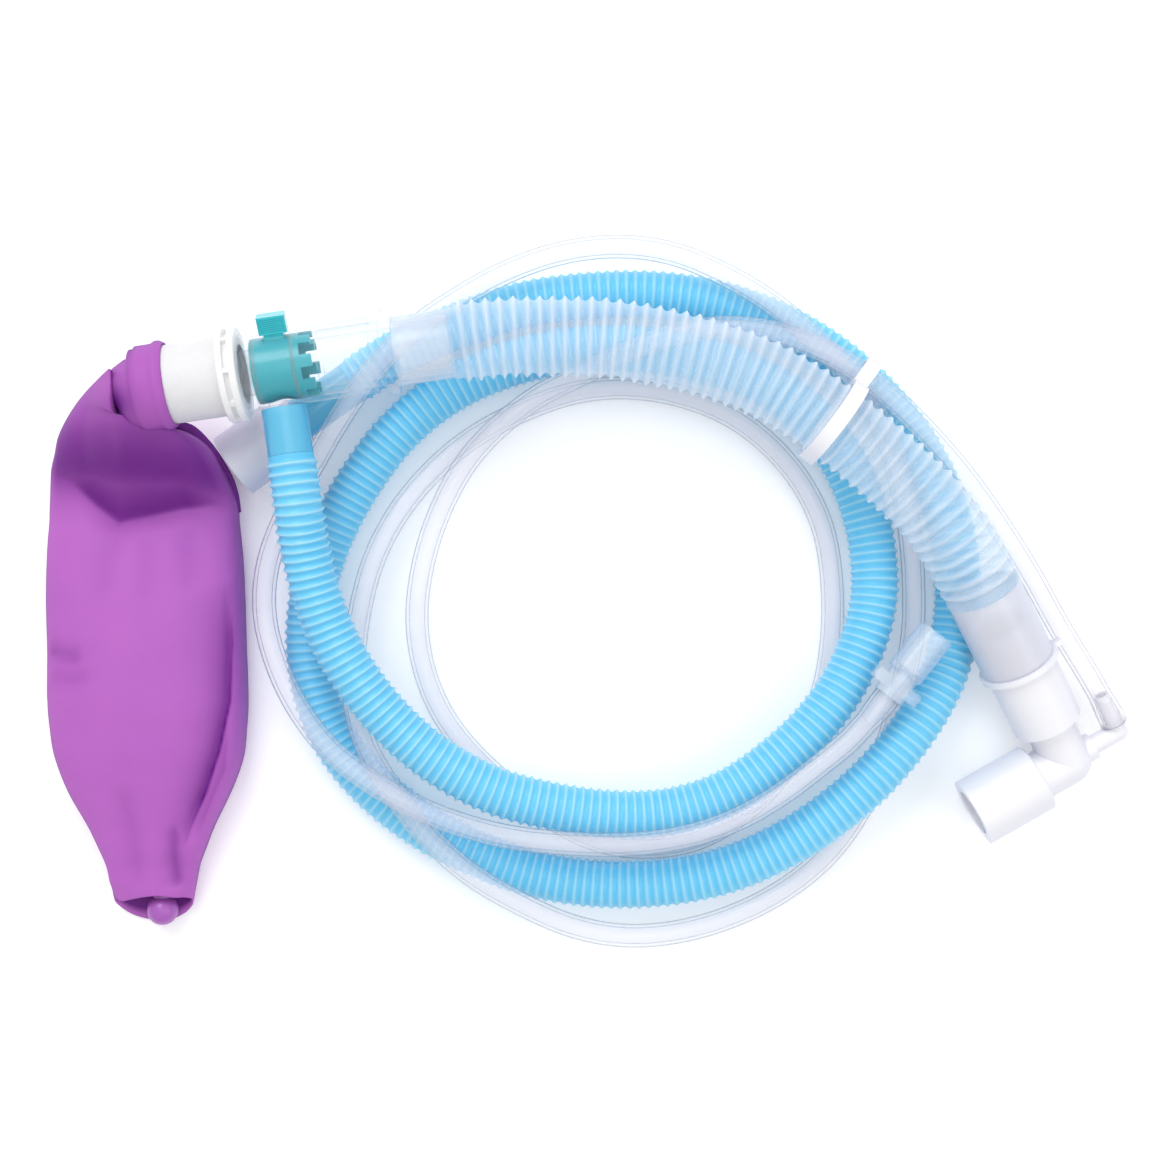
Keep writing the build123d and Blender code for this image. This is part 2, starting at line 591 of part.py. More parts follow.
hose_lead_in = hose_start + port_dir * 13
hose_lead_out = Vector(*END_CUFF_TOP) - end_dir * 15
hose_points = [hose_start, hose_lead_in] + HOSE_ROUTE + [hose_lead_out, END_CUFF_TOP]
hose_path = hose("scavenging_hose", hose_points, HOSE_R)

gas_lead_in = inlet_corner + leg_dir * 15
gas_lead_out = Vector(*GAS_END) - gas_dir * 15
gas_points = [gas_start, gas_lead_in] + GAS_ROUTE + [gas_lead_out, GAS_END]
gas_path = hose("gas_tube", gas_points, GAS_R)

# The clip is a band round the breathing limb with a hook round the gas tube.
limb_at = limb_path @ CLIP_ALONG
clip_axis = limb_path % CLIP_ALONG
shares = [i / 1500 for i in range(60, 260)]
beside = min(shares, key=lambda share: abs((gas_path @ share - limb_at).dot(clip_axis)))
gas_at = gas_path @ beside
gas_axis = gas_path % beside
reach_dir = gas_at - limb_at
reach_dir = reach_dir - clip_axis * reach_dir.dot(clip_axis)
reach = reach_dir.length
clip_place = stand(limb_at, clip_axis, reach_dir.normalized())
half = CLIP_WIDTH / 2
hook_r = GAS_R + CLIP_GAP + CLIP_WALL
clip = rod(LIMB_R + CLIP_GAP + CLIP_WALL, -half, half)
clip += Pos(reach, 0, 0) * rod(hook_r, -half, half)
clip += block((LIMB_R, reach + hook_r + CLIP_TAIL), (-1.2, 1.2), (-half, half))
clip += block((LIMB_R, reach), (-GAS_R, GAS_R), (-half, half))
clip -= rod(LIMB_R + CLIP_GAP, -half - 1, half + 1)
clip = clip_place * clip
gas_across = gas_axis.cross(Vector(0, 0, 1)).normalized()
gas_bore = stand(gas_at, gas_axis, gas_across) * rod(GAS_R + CLIP_GAP, -2 * half, 2 * half)
clip -= gas_bore
# the hook is open below, where the tube's next turn passes
open_size = 2 * hook_r + 6
clip -= Pos(gas_at.X, gas_at.Y, gas_at.Z - CLIP_HOOK_DEPTH - 10) * Box(open_size, open_size, 20)
keep("tube_clip", clip)

for name, solid in parts.items():
    export_step(solid, f"parts/{name}.step")
    print(name, len(solid.solids()), "solid", round(solid.volume), "mm3")
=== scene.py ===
# %% [markdown]
# # A child's T-piece breathing circuit
# The circuit lies coiled on a table: an open-tailed purple bag on a turning white bushing, a clear
# valve with a teal sleeve, a short clear corrugated limb, an elbow for the patient, a long blue
# scavenging hose and a thin clear gas tube. The rigid parts come ready made from the CAD model.
# This script adds what the CAD model only stands in for: the ridges of the hoses, the walls of the
# clear tube, the folded film of the bag, and a finish for every surface.

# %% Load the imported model
import json
import math
import bmesh
import bpy
import numpy as np
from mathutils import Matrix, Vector


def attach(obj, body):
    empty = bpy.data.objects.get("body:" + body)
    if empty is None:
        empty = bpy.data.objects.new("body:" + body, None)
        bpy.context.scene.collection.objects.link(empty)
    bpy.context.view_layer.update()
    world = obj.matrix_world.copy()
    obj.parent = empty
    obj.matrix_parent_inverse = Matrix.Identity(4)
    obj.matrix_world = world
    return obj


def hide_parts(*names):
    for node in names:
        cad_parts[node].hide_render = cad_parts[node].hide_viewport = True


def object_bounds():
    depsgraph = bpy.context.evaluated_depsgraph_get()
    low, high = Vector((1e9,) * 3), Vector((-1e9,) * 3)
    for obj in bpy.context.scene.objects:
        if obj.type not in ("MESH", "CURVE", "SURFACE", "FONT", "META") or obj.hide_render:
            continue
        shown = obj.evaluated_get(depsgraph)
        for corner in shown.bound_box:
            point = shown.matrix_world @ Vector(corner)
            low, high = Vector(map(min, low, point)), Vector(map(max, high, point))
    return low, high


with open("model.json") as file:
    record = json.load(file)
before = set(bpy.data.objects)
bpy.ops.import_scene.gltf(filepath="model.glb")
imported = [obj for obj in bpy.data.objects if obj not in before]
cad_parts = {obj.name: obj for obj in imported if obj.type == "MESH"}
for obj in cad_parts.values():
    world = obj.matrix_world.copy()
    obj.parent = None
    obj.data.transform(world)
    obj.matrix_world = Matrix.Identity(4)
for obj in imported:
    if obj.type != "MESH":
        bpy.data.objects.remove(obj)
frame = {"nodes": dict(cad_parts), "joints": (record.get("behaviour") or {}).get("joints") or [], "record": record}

MM = 0.001
UP = Vector((0, 0, 1))
cad_box = [[float(c) for c in corner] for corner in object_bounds()]
nodes = frame["nodes"]
joints = {joint["name"]: joint for joint in frame["joints"]}
mounts = {mount["name"]: mount for mount in frame["record"]["mounts"]}
print("CAD box in mm:", [[round(c / MM, 1) for c in corner] for corner in cad_box])

# %% [markdown]
# ## Where things are
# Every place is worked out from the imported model: the valve's centre line is the axis of its own
# joint, and the patient port, the scavenging connector and the gas connector are the mounts that
# the record names. A direction across the valve or the elbow is then a quarter turn away.

# %% Centre lines of the valve, the elbow and the two connectors
ELBOW_TILT = math.radians(17)


def quarter_turn_right(direction):
    return Vector((direction.y, -direction.x, 0))


def axis_of(thing):
    return Vector(thing["axis"]).normalized()


valve_at = Vector(joints["valve_turn"]["pos_m"])
valve_axis = axis_of(joints["valve_turn"])
port_dir = quarter_turn_right(valve_axis)
port22_dir = axis_of(mounts["patient_port"])
elbow_at = Vector(mounts["patient_port"]["pos_m"]) - port22_dir * 23 * MM
leg_dir = quarter_turn_right(port22_dir) * math.cos(ELBOW_TILT) + UP * math.sin(ELBOW_TILT)
cuff_dir = axis_of(mounts["scavenging_outlet"])
cuff_top = Vector(mounts["scavenging_outlet"]["pos_m"]) - cuff_dir * 38 * MM
gas_dir = axis_of(mounts["gas_supply_socket"])
gas_flange = Vector(mounts["gas_supply_socket"]["pos_m"]) - gas_dir * 17.6 * MM
print("valve at", [round(c, 4) for c in valve_at], "elbow at", [round(c, 4) for c in elbow_at])

# %% [markdown]
# ## The camera
# The camera comes before the pieces because a cord may not spread far outside what it sees.

# %% Camera straight above the coil
CAMERA_AT = (-0.0026, 0.0141, 0.6)
CAMERA_LENS = 57.3

camera_data = bpy.data.cameras.new("camera")
camera_data.lens = CAMERA_LENS
camera_data.sensor_width = 36
camera_data.clip_start = 0.01
camera = bpy.data.objects.new("camera", camera_data)
camera.location = CAMERA_AT
bpy.context.scene.collection.objects.link(camera)
bpy.context.scene.camera = camera
print("the camera sees", round(36 / CAMERA_LENS * CAMERA_AT[2], 3), "m of the table")

# %% [markdown]
# ## The three hoses' centre lines
# A hose is a fixed length of something flexible, so its line comes first and its wall second. Each
# line is a NURBS curve through the air near a few control points, the same ones that the CAD
# model's hoses use. The order is set after the points are added: set before, it would stay at 2,
# which gives straight runs. The curve without any thickness, turned into a mesh, gives its points.

# %% Control points of the breathing limb, the scavenging hose and the gas tube
limb_start = valve_at + valve_axis * 0.053
limb_end = elbow_at + leg_dir * 0.0649
LIMB_ROUTE = [
    (-0.0130, 0.0880, 0.0390), (0.0035, 0.0880, 0.0390), (0.0200, 0.0855, 0.0390),
    (0.0375, 0.0815, 0.0385), (0.0540, 0.0755, 0.0380), (0.0680, 0.0670, 0.0380),
    (0.0815, 0.0570, 0.0375), (0.0945, 0.0460, 0.0370),
]
limb_points = [limb_start, limb_start + valve_axis * 0.014, *LIMB_ROUTE]
limb_points += [limb_end + leg_dir * 0.023, limb_end]

hose_start = valve_at + port_dir * 0.0264
HOSE_ROUTE = [
    (-0.0870, 0.0240, 0.0355), (-0.0830, 0.0065, 0.0320), (-0.0755, -0.0110, 0.0295),
    (-0.0640, -0.0275, 0.0265), (-0.0490, -0.0415, 0.0245), (-0.0305, -0.0520, 0.0225),
    (-0.0120, -0.0570, 0.0205), (0.0070, -0.0600, 0.0190), (0.0260, -0.0595, 0.0180),
    (0.0435, -0.0540, 0.0175), (0.0590, -0.0435, 0.0170), (0.0735, -0.0300, 0.0165),
    (0.0845, -0.0135, 0.0145), (0.0915, 0.0060, 0.0125), (0.0910, 0.0255, 0.0110),
    (0.0860, 0.0440, 0.0105), (0.0770, 0.0600, 0.0100), (0.0640, 0.0730, 0.0095),
    (0.0475, 0.0820, 0.0090), (0.0290, 0.0865, 0.0085), (0.0100, 0.0890, 0.0085),
    (-0.0095, 0.0875, 0.0083), (-0.0275, 0.0830, 0.0082), (-0.0445, 0.0755, 0.0082),
    (-0.0605, 0.0630, 0.0082), (-0.0730, 0.0465, 0.0082), (-0.0825, 0.0295, 0.0082),
    (-0.0885, 0.0110, 0.0082), (-0.0900, -0.0085, 0.0082), (-0.0865, -0.0270, 0.0082),
    (-0.0785, -0.0420, 0.0082), (-0.0670, -0.0545, 0.0082), (-0.0525, -0.0655, 0.0082),
    (-0.0345, -0.0745, 0.0085), (-0.0155, -0.0810, 0.0090), (0.0055, -0.0835, 0.0100),
    (0.0255, -0.0825, 0.0115), (0.0445, -0.0785, 0.0125), (0.0620, -0.0705, 0.0140),
    (0.0775, -0.0600, 0.0155), (0.0915, -0.0475, 0.0165), (0.1035, -0.0330, 0.0155),
    (0.1135, -0.0170, 0.0120), (0.1185, 0.0010, 0.0085), (0.1185, 0.0190, 0.0082),
    (0.1150, 0.0370, 0.0082), (0.1075, 0.0540, 0.0082), (0.0965, 0.0690, 0.0082),
    (0.0840, 0.0815, 0.0082), (0.0690, 0.0920, 0.0082), (0.0520, 0.1000, 0.0082),
    (0.0340, 0.1045, 0.0082), (0.0155, 0.1060, 0.0085), (-0.0035, 0.1050, 0.0085),
    (-0.0215, 0.1025, 0.0085), (-0.0380, 0.0970, 0.0085), (-0.0515, 0.0915, 0.0090),
]
hose_points = [hose_start, hose_start + port_dir * 0.013, *HOSE_ROUTE]
hose_points += [cuff_top - cuff_dir * 0.015, cuff_top]

inlet_corner = elbow_at - port22_dir * 0.019
gas_start = inlet_corner + leg_dir * 0.0035
GAS_ROUTE = [
    (0.1485, -0.0010, 0.0180), (0.1395, 0.0150, 0.0200), (0.1295, 0.0305, 0.0215),
    (0.1185, 0.0455, 0.0235), (0.1065, 0.0590, 0.0255), (0.0945, 0.0705, 0.0275),
    (0.0820, 0.0800, 0.0290), (0.0700, 0.0865, 0.0290), (0.0575, 0.0910, 0.0270),
    (0.0445, 0.0930, 0.0250), (0.0320, 0.0920, 0.0235), (0.0200, 0.0890, 0.0220),
    (0.0075, 0.0835, 0.0205), (-0.0040, 0.0780, 0.0180), (-0.0160, 0.0725, 0.0160),
    (-0.0285, 0.0630, 0.0145), (-0.0390, 0.0520, 0.0125), (-0.0475, 0.0365, 0.0105),
    (-0.0530, 0.0200, 0.0095), (-0.0555, 0.0020, 0.0080), (-0.0530, -0.0155, 0.0070),
    (-0.0460, -0.0315, 0.0065), (-0.0335, -0.0460, 0.0055), (-0.0170, -0.0595, 0.0050),
    (0.0015, -0.0705, 0.0045), (0.0210, -0.0730, 0.0040), (0.0390, -0.0690, 0.0039),
    (0.0555, -0.0570, 0.0039), (0.0680, -0.0410, 0.0039), (0.0760, -0.0230, 0.0039),
    (0.0790, -0.0045, 0.0039), (0.0790, 0.0135, 0.0039), (0.0765, 0.0305, 0.0040),
    (0.0695, 0.0455, 0.0040), (0.0585, 0.0585, 0.0040), (0.0445, 0.0685, 0.0045),
    (0.0275, 0.0745, 0.0045), (0.0105, 0.0765, 0.0050), (-0.0060, 0.0745, 0.0050),
    (-0.0230, 0.0680, 0.0055), (-0.0385, 0.0595, 0.0060), (-0.0510, 0.0485, 0.0070),
    (-0.0615, 0.0355, 0.0080), (-0.0690, 0.0205, 0.0095), (-0.0730, 0.0045, 0.0110),
    (-0.0745, -0.0100, 0.0130), (-0.0745, -0.0245, 0.0155), (-0.0705, -0.0385, 0.0180),
    (-0.0620, -0.0520, 0.0200), (-0.0515, -0.0655, 0.0210), (-0.0375, -0.0785, 0.0205),
    (-0.0215, -0.0880, 0.0185), (-0.0050, -0.0960, 0.0155), (0.0120, -0.0995, 0.0130),
    (0.0295, -0.0985, 0.0105), (0.0475, -0.0935, 0.0085), (0.0645, -0.0850, 0.0070),
    (0.0790, -0.0730, 0.0055), (0.0900, -0.0570, 0.0039), (0.0965, -0.0400, 0.0039),
    (0.1010, -0.0225, 0.0039), (0.1045, -0.0045, 0.0070), (0.1040, 0.0135, 0.0110),
    (0.1020, 0.0305, 0.0145), (0.0985, 0.0465, 0.0170), (0.0930, 0.0625, 0.0190),
    (0.0830, 0.0770, 0.0205), (0.0715, 0.0895, 0.0210), (0.0575, 0.1015, 0.0210),
    (0.0425, 0.1105, 0.0200), (0.0260, 0.1175, 0.0195), (0.0080, 0.1195, 0.0195),
    (-0.0100, 0.1170, 0.0195), (-0.0270, 0.1105, 0.0205), (-0.0410, 0.1025, 0.0210),
    (-0.0545, 0.0930, 0.0225), (-0.0670, 0.0805, 0.0230), (-0.0775, 0.0655, 0.0225),
    (-0.0865, 0.0500, 0.0215), (-0.0955, 0.0340, 0.0205), (-0.1010, 0.0190, 0.0210),
    (-0.1020, 0.0035, 0.0215), (-0.0980, -0.0115, 0.0225), (-0.0915, -0.0250, 0.0240),
    (-0.0820, -0.0375, 0.0260), (-0.0700, -0.0470, 0.0275), (-0.0545, -0.0560, 0.0285),
    (-0.0390, -0.0620, 0.0285), (-0.0230, -0.0660, 0.0285), (-0.0055, -0.0675, 0.0290),
    (0.0115, -0.0680, 0.0290), (0.0290, -0.0660, 0.0285), (0.0450, -0.0610, 0.0280),
    (0.0600, -0.0525, 0.0270), (0.0725, -0.0430, 0.0260),
]
gas_points = [gas_start, inlet_corner + leg_dir * 0.015, *GAS_ROUTE]
gas_points += [gas_flange - gas_dir * 0.015, gas_flange]

# %% Smooth lines from the control points


def smooth_line(name, points, resolution=8):
    """The points of a NURBS curve that has these control points."""
    curve = bpy.data.curves.new(name, "CURVE")
    curve.dimensions = "3D"
    spline = curve.splines.new("NURBS")
    spline.points.add(len(points) - 1)
    for place, point in zip(spline.points, points):
        place.co = (*point, 1)
    spline.order_u = 3
    spline.use_endpoint_u = True
    spline.resolution_u = resolution
    holder = bpy.data.objects.new(name, curve)
    flat = bpy.data.meshes.new_from_object(holder)
    line = [vertex.co.copy() for vertex in flat.vertices]
    bpy.data.objects.remove(holder)
    bpy.data.meshes.remove(flat)
    return line


def length_of(line):
    return sum((after - before).length for before, after in zip(line, line[1:]))


limb_line = smooth_line("limb line", limb_points)
hose_line = smooth_line("hose line", hose_points)
gas_line = smooth_line("gas line", gas_points)
for name, line in [("limb", limb_line), ("hose", hose_line), ("gas tube", gas_line)]:
    print(name, len(line), "points,", round(length_of(line), 3), "m")

# %% [markdown]
# ## Nodes written as Python
# Geometry Nodes and materials share their Math node, so one small class serves both. It wraps a
# socket, and Python's signs on it add the Math node that they stand for. Everything else comes
# from one function, which takes a node's kind, its settings and what goes into its sockets.

# %% A socket that Python's signs work on


class Value:
    """A number in a node tree."""

    def __init__(self, tree, socket):
        self.tree = tree
        self.socket = socket

    def __add__(self, other):
        return maths(self.tree, "ADD", self, other)

    def __radd__(self, other):
        return maths(self.tree, "ADD", other, self)

    def __sub__(self, other):
        return maths(self.tree, "SUBTRACT", self, other)

    def __rsub__(self, other):
        return maths(self.tree, "SUBTRACT", other, self)

    def __mul__(self, other):
        return maths(self.tree, "MULTIPLY", self, other)

    def __rmul__(self, other):
        return maths(self.tree, "MULTIPLY", other, self)

    def __truediv__(self, other):
        return maths(self.tree, "DIVIDE", self, other)

    def __pow__(self, other):
        return maths(self.tree, "POWER", self, other)

    def __abs__(self):
        return maths(self.tree, "ABSOLUTE", self)


def put(tree, socket, value):
    """Links a value or a socket into a socket, or writes a constant on it."""
    if isinstance(value, Value):
        tree.links.new(value.socket, socket)
    elif isinstance(value, bpy.types.NodeSocket):
        tree.links.new(value, socket)
    else:
        socket.default_value = value


def add_node(tree, kind, settings=None, inputs=None, stops=None):
    """A node whose settings are made first, then its colour stops, then its sockets."""
    node = tree.nodes.new(kind)
    for name, setting in (settings or {}).items():
        setattr(node, name, setting)
    if stops:
        ramp = node.color_ramp
        while len(ramp.elements) < len(stops):
            ramp.elements.new(0.5)
        for element, (position, colour) in zip(ramp.elements, stops):
            element.position = position
            element.color = colour
    for name, value in (inputs or {}).items():
        put(tree, node.inputs[name], value)
    return node


def maths(tree, operation, *terms, clamp=False):
    settings = {"operation": operation, "use_clamp": clamp}
    node = add_node(tree, "ShaderNodeMath", settings, dict(enumerate(terms)))
    return Value(tree, node.outputs[0])


# %% [markdown]
# ## The ridges of a corrugated hose
# A corrugated wall is one ring repeated along a line, which is what Geometry Nodes do well. The line
# becomes a curve, the curve is cut into even steps, each step gets its own radius from a wave along
# the length, and a circle is carried along. Both hoses have sharp crests with round valleys between
# them, and the input "Sharp crests" can turn that the other way about. The height of the wave is kept
# on the mesh under the name "ridge", so that the finish can tell a crest from a valley.

# %% The corrugated tube's node tree
TUBE_INPUTS = [
    ("Line", "NodeSocketGeometry"),
    ("Crest radius", "NodeSocketFloat"),
    ("Depth", "NodeSocketFloat"),
    ("Pitch", "NodeSocketFloat"),
    ("Steps", "NodeSocketInt"),
    ("Sides", "NodeSocketInt"),
    ("Sharp crests", "NodeSocketFloat"),
    ("Plain end", "NodeSocketFloat"),
    ("Start radius", "NodeSocketFloat"),
    ("End radius", "NodeSocketFloat"),
    ("Finish", "NodeSocketMaterial"),
]


def corrugated_tube_tree():
    tree = bpy.data.node_groups.new("corrugated tube", "GeometryNodeTree")
    for name, kind in TUBE_INPUTS:
        tree.interface.new_socket(name=name, in_out="INPUT", socket_type=kind)
    tree.interface.new_socket(name="Tube", in_out="OUTPUT", socket_type="NodeSocketGeometry")
    given = add_node(tree, "NodeGroupInput").outputs
    pitch = Value(tree, given["Pitch"])
    step = pitch / Value(tree, given["Steps"])
    curve = add_node(tree, "GeometryNodeMeshToCurve", None, {"Mesh": given["Line"]})
    even = add_node(
        tree,
        "GeometryNodeResampleCurve",
        {"mode": "LENGTH"},
        {"Curve": curve.outputs[0], "Length": step},
    )
    along = Value(tree, add_node(tree, "GeometryNodeSplineParameter").outputs["Length"])
    total = Value(tree, add_node(tree, "GeometryNodeSplineLength").outputs["Length"])
    from_end = maths(tree, "MINIMUM", along, total - along)
    ridged = maths(tree, "DIVIDE", from_end - given["Plain end"], pitch, clamp=True)
    arch = abs(maths(tree, "SINE", along / pitch * math.pi))
    crest = arch + Value(tree, given["Sharp crests"]) * (1 - arch * 2)
    radius = Value(tree, given["Crest radius"]) - Value(tree, given["Depth"]) * (1 - crest)
    start = Value(tree, given["Start radius"])
    gone = maths(tree, "DIVIDE", along, total)
    end = start + (Value(tree, given["End radius"]) - start) * gone
    kept = add_node(
        tree,
        "GeometryNodeStoreNamedAttribute",
        {"data_type": "FLOAT", "domain": "POINT"},
        {"Geometry": even.outputs[0], "Name": "ridge", "Value": crest * ridged},
    )
    circle = add_node(
        tree,
        "GeometryNodeCurvePrimitiveCircle",
        None,
        {"Resolution": given["Sides"], "Radius": 1.0},
    )
    wall = add_node(
        tree,
        "GeometryNodeCurveToMesh",
        None,
        {
            "Curve": kept.outputs[0],
            "Profile Curve": circle.outputs["Curve"],
            "Scale": end + (radius - end) * ridged,
            "Fill Caps": True,
        },
    )
    real = add_node(tree, "GeometryNodeRealizeInstances", None, {0: wall.outputs[0]})
    smooth = add_node(tree, "GeometryNodeSetShadeSmooth", None, {0: real.outputs[0]})
    inputs = {"Geometry": smooth.outputs[0], "Material": given["Finish"]}
    done = add_node(tree, "GeometryNodeSetMaterial", None, inputs)
    add_node(tree, "NodeGroupOutput", None, {"Tube": done.outputs[0]})
    return tree


tube_tree = corrugated_tube_tree()
print("the tube's tree has", len(tube_tree.nodes), "nodes")

# %% Grow a tube along a line and keep its plain mesh


def corrugated_tube(name, line, finish, **sizes):
    """A plain mesh tube; sizes are the tree's inputs in words, such as crest_radius."""
    edges = [(i, i + 1) for i in range(len(line) - 1)]
    backbone = bpy.data.meshes.new(name)
    backbone.from_pydata([tuple(point) for point in line], edges, [])
    holder = bpy.data.objects.new(name + " line", backbone)
    bpy.context.scene.collection.objects.link(holder)
    grow = holder.modifiers.new("ridges", "NODES")
    grow.node_group = tube_tree
    chosen = {word.replace("_", " ").capitalize(): size for word, size in sizes.items()}
    chosen["Finish"] = finish
    for item in tube_tree.interface.items_tree:
        if item.in_out == "INPUT" and item.name in chosen:
            grow[item.identifier] = chosen[item.name]
    ready = holder.evaluated_get(bpy.context.evaluated_depsgraph_get())
    mesh = bpy.data.meshes.new_from_object(ready)
    bpy.data.objects.remove(holder)
    mesh.name = name
    piece = bpy.data.objects.new(name, mesh)
    bpy.context.scene.collection.objects.link(piece)
    print(name, len(mesh.polygons), "faces")
    return piece


# %% [markdown]
# ## Colours and finishes
# Colours are written as they look on a screen and turned into the linear light that Blender works
# in. Every finish starts from the Principled shader. What is the same all over a surface is written
# straight on the shader's sockets, and only what varies is linked.

# %% A material maker


def seen(red, green, blue):
    """A colour as it looks on a screen, as linear light."""
    linear = [c / 12.92 if c <= 0.04045 else ((c + 0.055) / 1.055) ** 2.4 for c in (red, green, blue)]
    return (*linear, 1.0)


class Finish:
    """One material, with the few patterns that several of them share."""

    def __init__(self, name, **constants):
        self.material = bpy.data.materials.new(name)
        self.material.use_nodes = True
        self.tree = self.material.node_tree
        self.shader = self.tree.nodes["Principled BSDF"]
        for socket, value in constants.items():
            self.set(socket.replace("_", " ").title().replace("Ior", "IOR"), value)

    def node(self, kind, settings=None, inputs=None, stops=None):
        return add_node(self.tree, kind, settings, inputs, stops)

    def set(self, socket, value):
        put(self.tree, self.shader.inputs[socket], value)

    def place(self):
        return self.node("ShaderNodeTexCoord").outputs["Object"]

    def noise(self, scale, detail=3.0, stretch=(1, 1, 1)):
        """Soft random blotches, scale of them to the metre."""
        moved = self.node("ShaderNodeMapping", None, {"Vector": self.place(), "Scale": stretch})
        inputs = {"Vector": moved.outputs[0], "Scale": scale, "Detail": detail}
        return Value(self.tree, self.node("ShaderNodeTexNoise", None, inputs).outputs[0])

    def attribute(self, name):
        node = self.node("ShaderNodeAttribute", {"attribute_name": name})
        return Value(self.tree, node.outputs["Fac"])

    def edge(self, blend=0.5):
        """0 where a surface faces the eye and 1 where it turns away."""
        node = self.node("ShaderNodeLayerWeight", None, {"Blend": blend})
        return Value(self.tree, node.outputs["Facing"])

    def mix(self, share, first, second):
        settings = {"data_type": "RGBA", "clamp_factor": True}
        node = self.node("ShaderNodeMix", settings, {0: share, 6: first, 7: second})
        return node.outputs[2]

    def bump(self, height, distance, strength=1.0):
        inputs = {"Height": height, "Distance": distance, "Strength": strength}
        self.set("Normal", self.node("ShaderNodeBump", None, inputs).outputs[0])


finishes = {}


def keep_finish(finish):
    finishes[finish.material.name] = finish.material
    return finish.material


# %% [markdown]
# ## The blue wall of the scavenging hose
# The hose is thin blown plastic. Its crests are painted paler than its deeper blue valleys, a
# painted highlight where they catch the light. The ridge value on the mesh mixes the two. A little
# see-through at the middle of the tube and none at its edge makes it look filled with light.

# %% Blue film
BLUE_VALLEY = seen(0.36, 0.79, 0.97)
BLUE_CREST_HIGHLIGHT = seen(0.76, 0.95, 1.0)

blue = Finish("blue film", roughness=0.4, coat_weight=0.12, coat_roughness=0.2)
crest = blue.attribute("ridge")
blotch = blue.noise(60)
# Painted highlight: the crests are mixed towards a pale blue.
pale = blue.mix(crest ** 2, BLUE_VALLEY, BLUE_CREST_HIGHLIGHT)
blue.set("Base Color", blue.mix(blotch * 0.4, pale, seen(0.52, 0.87, 0.98)))
blue.set("Alpha", 0.82 + 0.18 * blue.edge(0.35))
blue_film = keep_finish(blue)

# %% [markdown]
# The plain cuffs at both ends are the same plastic without ridges, so their walls are smoother and
# one colour, and shine more.

# %% Blue cuffs
cuff = Finish("blue cuff", roughness=0.2, coat_weight=0.5, coat_roughness=0.1)
cuff.set("Base Color", cuff.mix(cuff.edge(0.5), seen(0.42, 0.80, 0.94), seen(0.26, 0.68, 0.88)))
cuff.set("Alpha", 0.72 + 0.28 * cuff.edge(0.4))
blue_cuff = keep_finish(cuff)

# %% [markdown]
# ## The milky wall of the breathing limb
# The limb is the same kind of hose in uncoloured plastic. It lets the blue hose under it show
# through, and its sharp crests are painted white, a painted highlight.

# %% Clear film
milky = Finish("clear film", roughness=0.3, coat_weight=0.25, coat_roughness=0.15)
crest = milky.attribute("ridge")
# Painted highlight: the crests are mixed towards white.
milky_colour = milky.mix(crest ** 2, seen(0.80, 0.90, 0.98), seen(0.97, 0.98, 1.0))
milky.set("Base Color", milky_colour)
milky.set("Alpha", 0.24 + 0.22 * crest + 0.4 * milky.edge(0.3))
clear_film = keep_finish(milky)

cuff = Finish("clear cuff", roughness=0.22, coat_weight=0.5, coat_roughness=0.1)
cuff.set("Base Color", cuff.mix(cuff.edge(0.6), seen(0.93, 0.95, 0.98), seen(0.80, 0.85, 0.92)))
cuff.set("Alpha", 0.22 + 0.6 * cuff.edge(0.45) ** 2)
clear_cuff = keep_finish(cuff)

cuff = Finish("milky cuff", roughness=0.3, coat_weight=0.3, coat_roughness=0.15)
cuff.set("Base Color", cuff.mix(cuff.edge(0.6), seen(0.96, 0.96, 0.99), seen(0.84, 0.86, 0.93)))
cuff.set("Alpha", 0.42 + 0.5 * cuff.edge(0.45))
milky_cuff = keep_finish(cuff)

# %% [markdown]
# ## Clear tubing and clear mouldings
# A clear wall is nearly invisible where it is looked at straight and turns grey-lilac at its edges,
# where the eye looks along the plastic. Layer Weight gives that without tracing real glass.

# %% Clear plastics
tubing = Finish("clear tubing", roughness=0.08, coat_weight=1.0, coat_roughness=0.04)
shade = tubing.edge(0.5)
rim_line = maths(tubing.tree, "DIVIDE", shade - 0.5, 0.2, clamp=True)
tubing.set("Base Color", tubing.mix(rim_line, seen(0.95, 0.94, 0.98), seen(0.50, 0.53, 0.62)))
tubing.set("Alpha", 0.15 + 0.45 * rim_line)
clear_tubing = keep_finish(tubing)

moulding = Finish("clear plastic", roughness=0.06, coat_weight=1.0, coat_roughness=0.03)
shade = moulding.edge(0.5)
moulding.set("Base Color", moulding.mix(shade ** 2, seen(0.94, 0.95, 0.98), seen(0.62, 0.66, 0.74)))
moulding.set("Alpha", 0.03 + 0.6 * shade ** 4)
clear_plastic = keep_finish(moulding)

bluish = Finish("clear connector", roughness=0.1, coat_weight=1.0, coat_roughness=0.04)
shade = bluish.edge(0.5)
bluish.set("Base Color", bluish.mix(shade, seen(0.92, 0.96, 1.0), seen(0.66, 0.76, 0.90)))
bluish.set("Alpha", 0.2 + 0.6 * shade ** 2)
clear_connector = keep_finish(bluish)

# %% [markdown]
# ## Frosted, white and teal mouldings
# The patient's parts are a cloudy white plastic with painted shade at their edges, the bushing a matt
# white one with a fine grain, the swivel ring a warmer, smoother white with a faint painted glow,
# and the valve's sleeve and tab a bright teal.

# %% Frosted and solid plastics
frost = Finish("frosted plastic", roughness=0.38, coat_weight=0.25, coat_roughness=0.3)
shade = frost.edge(0.5)
# Painted shade: the edges, where the surface turns away, are mixed to a darker lilac-grey.
frost.set("Base Color", frost.mix(shade, seen(0.97, 0.97, 0.985), seen(0.86, 0.86, 0.92)))
frost.set("Alpha", 0.90 + 0.10 * shade)
frost.bump(frost.noise(900, 2.0), 0.00005)
frosted = keep_finish(frost)

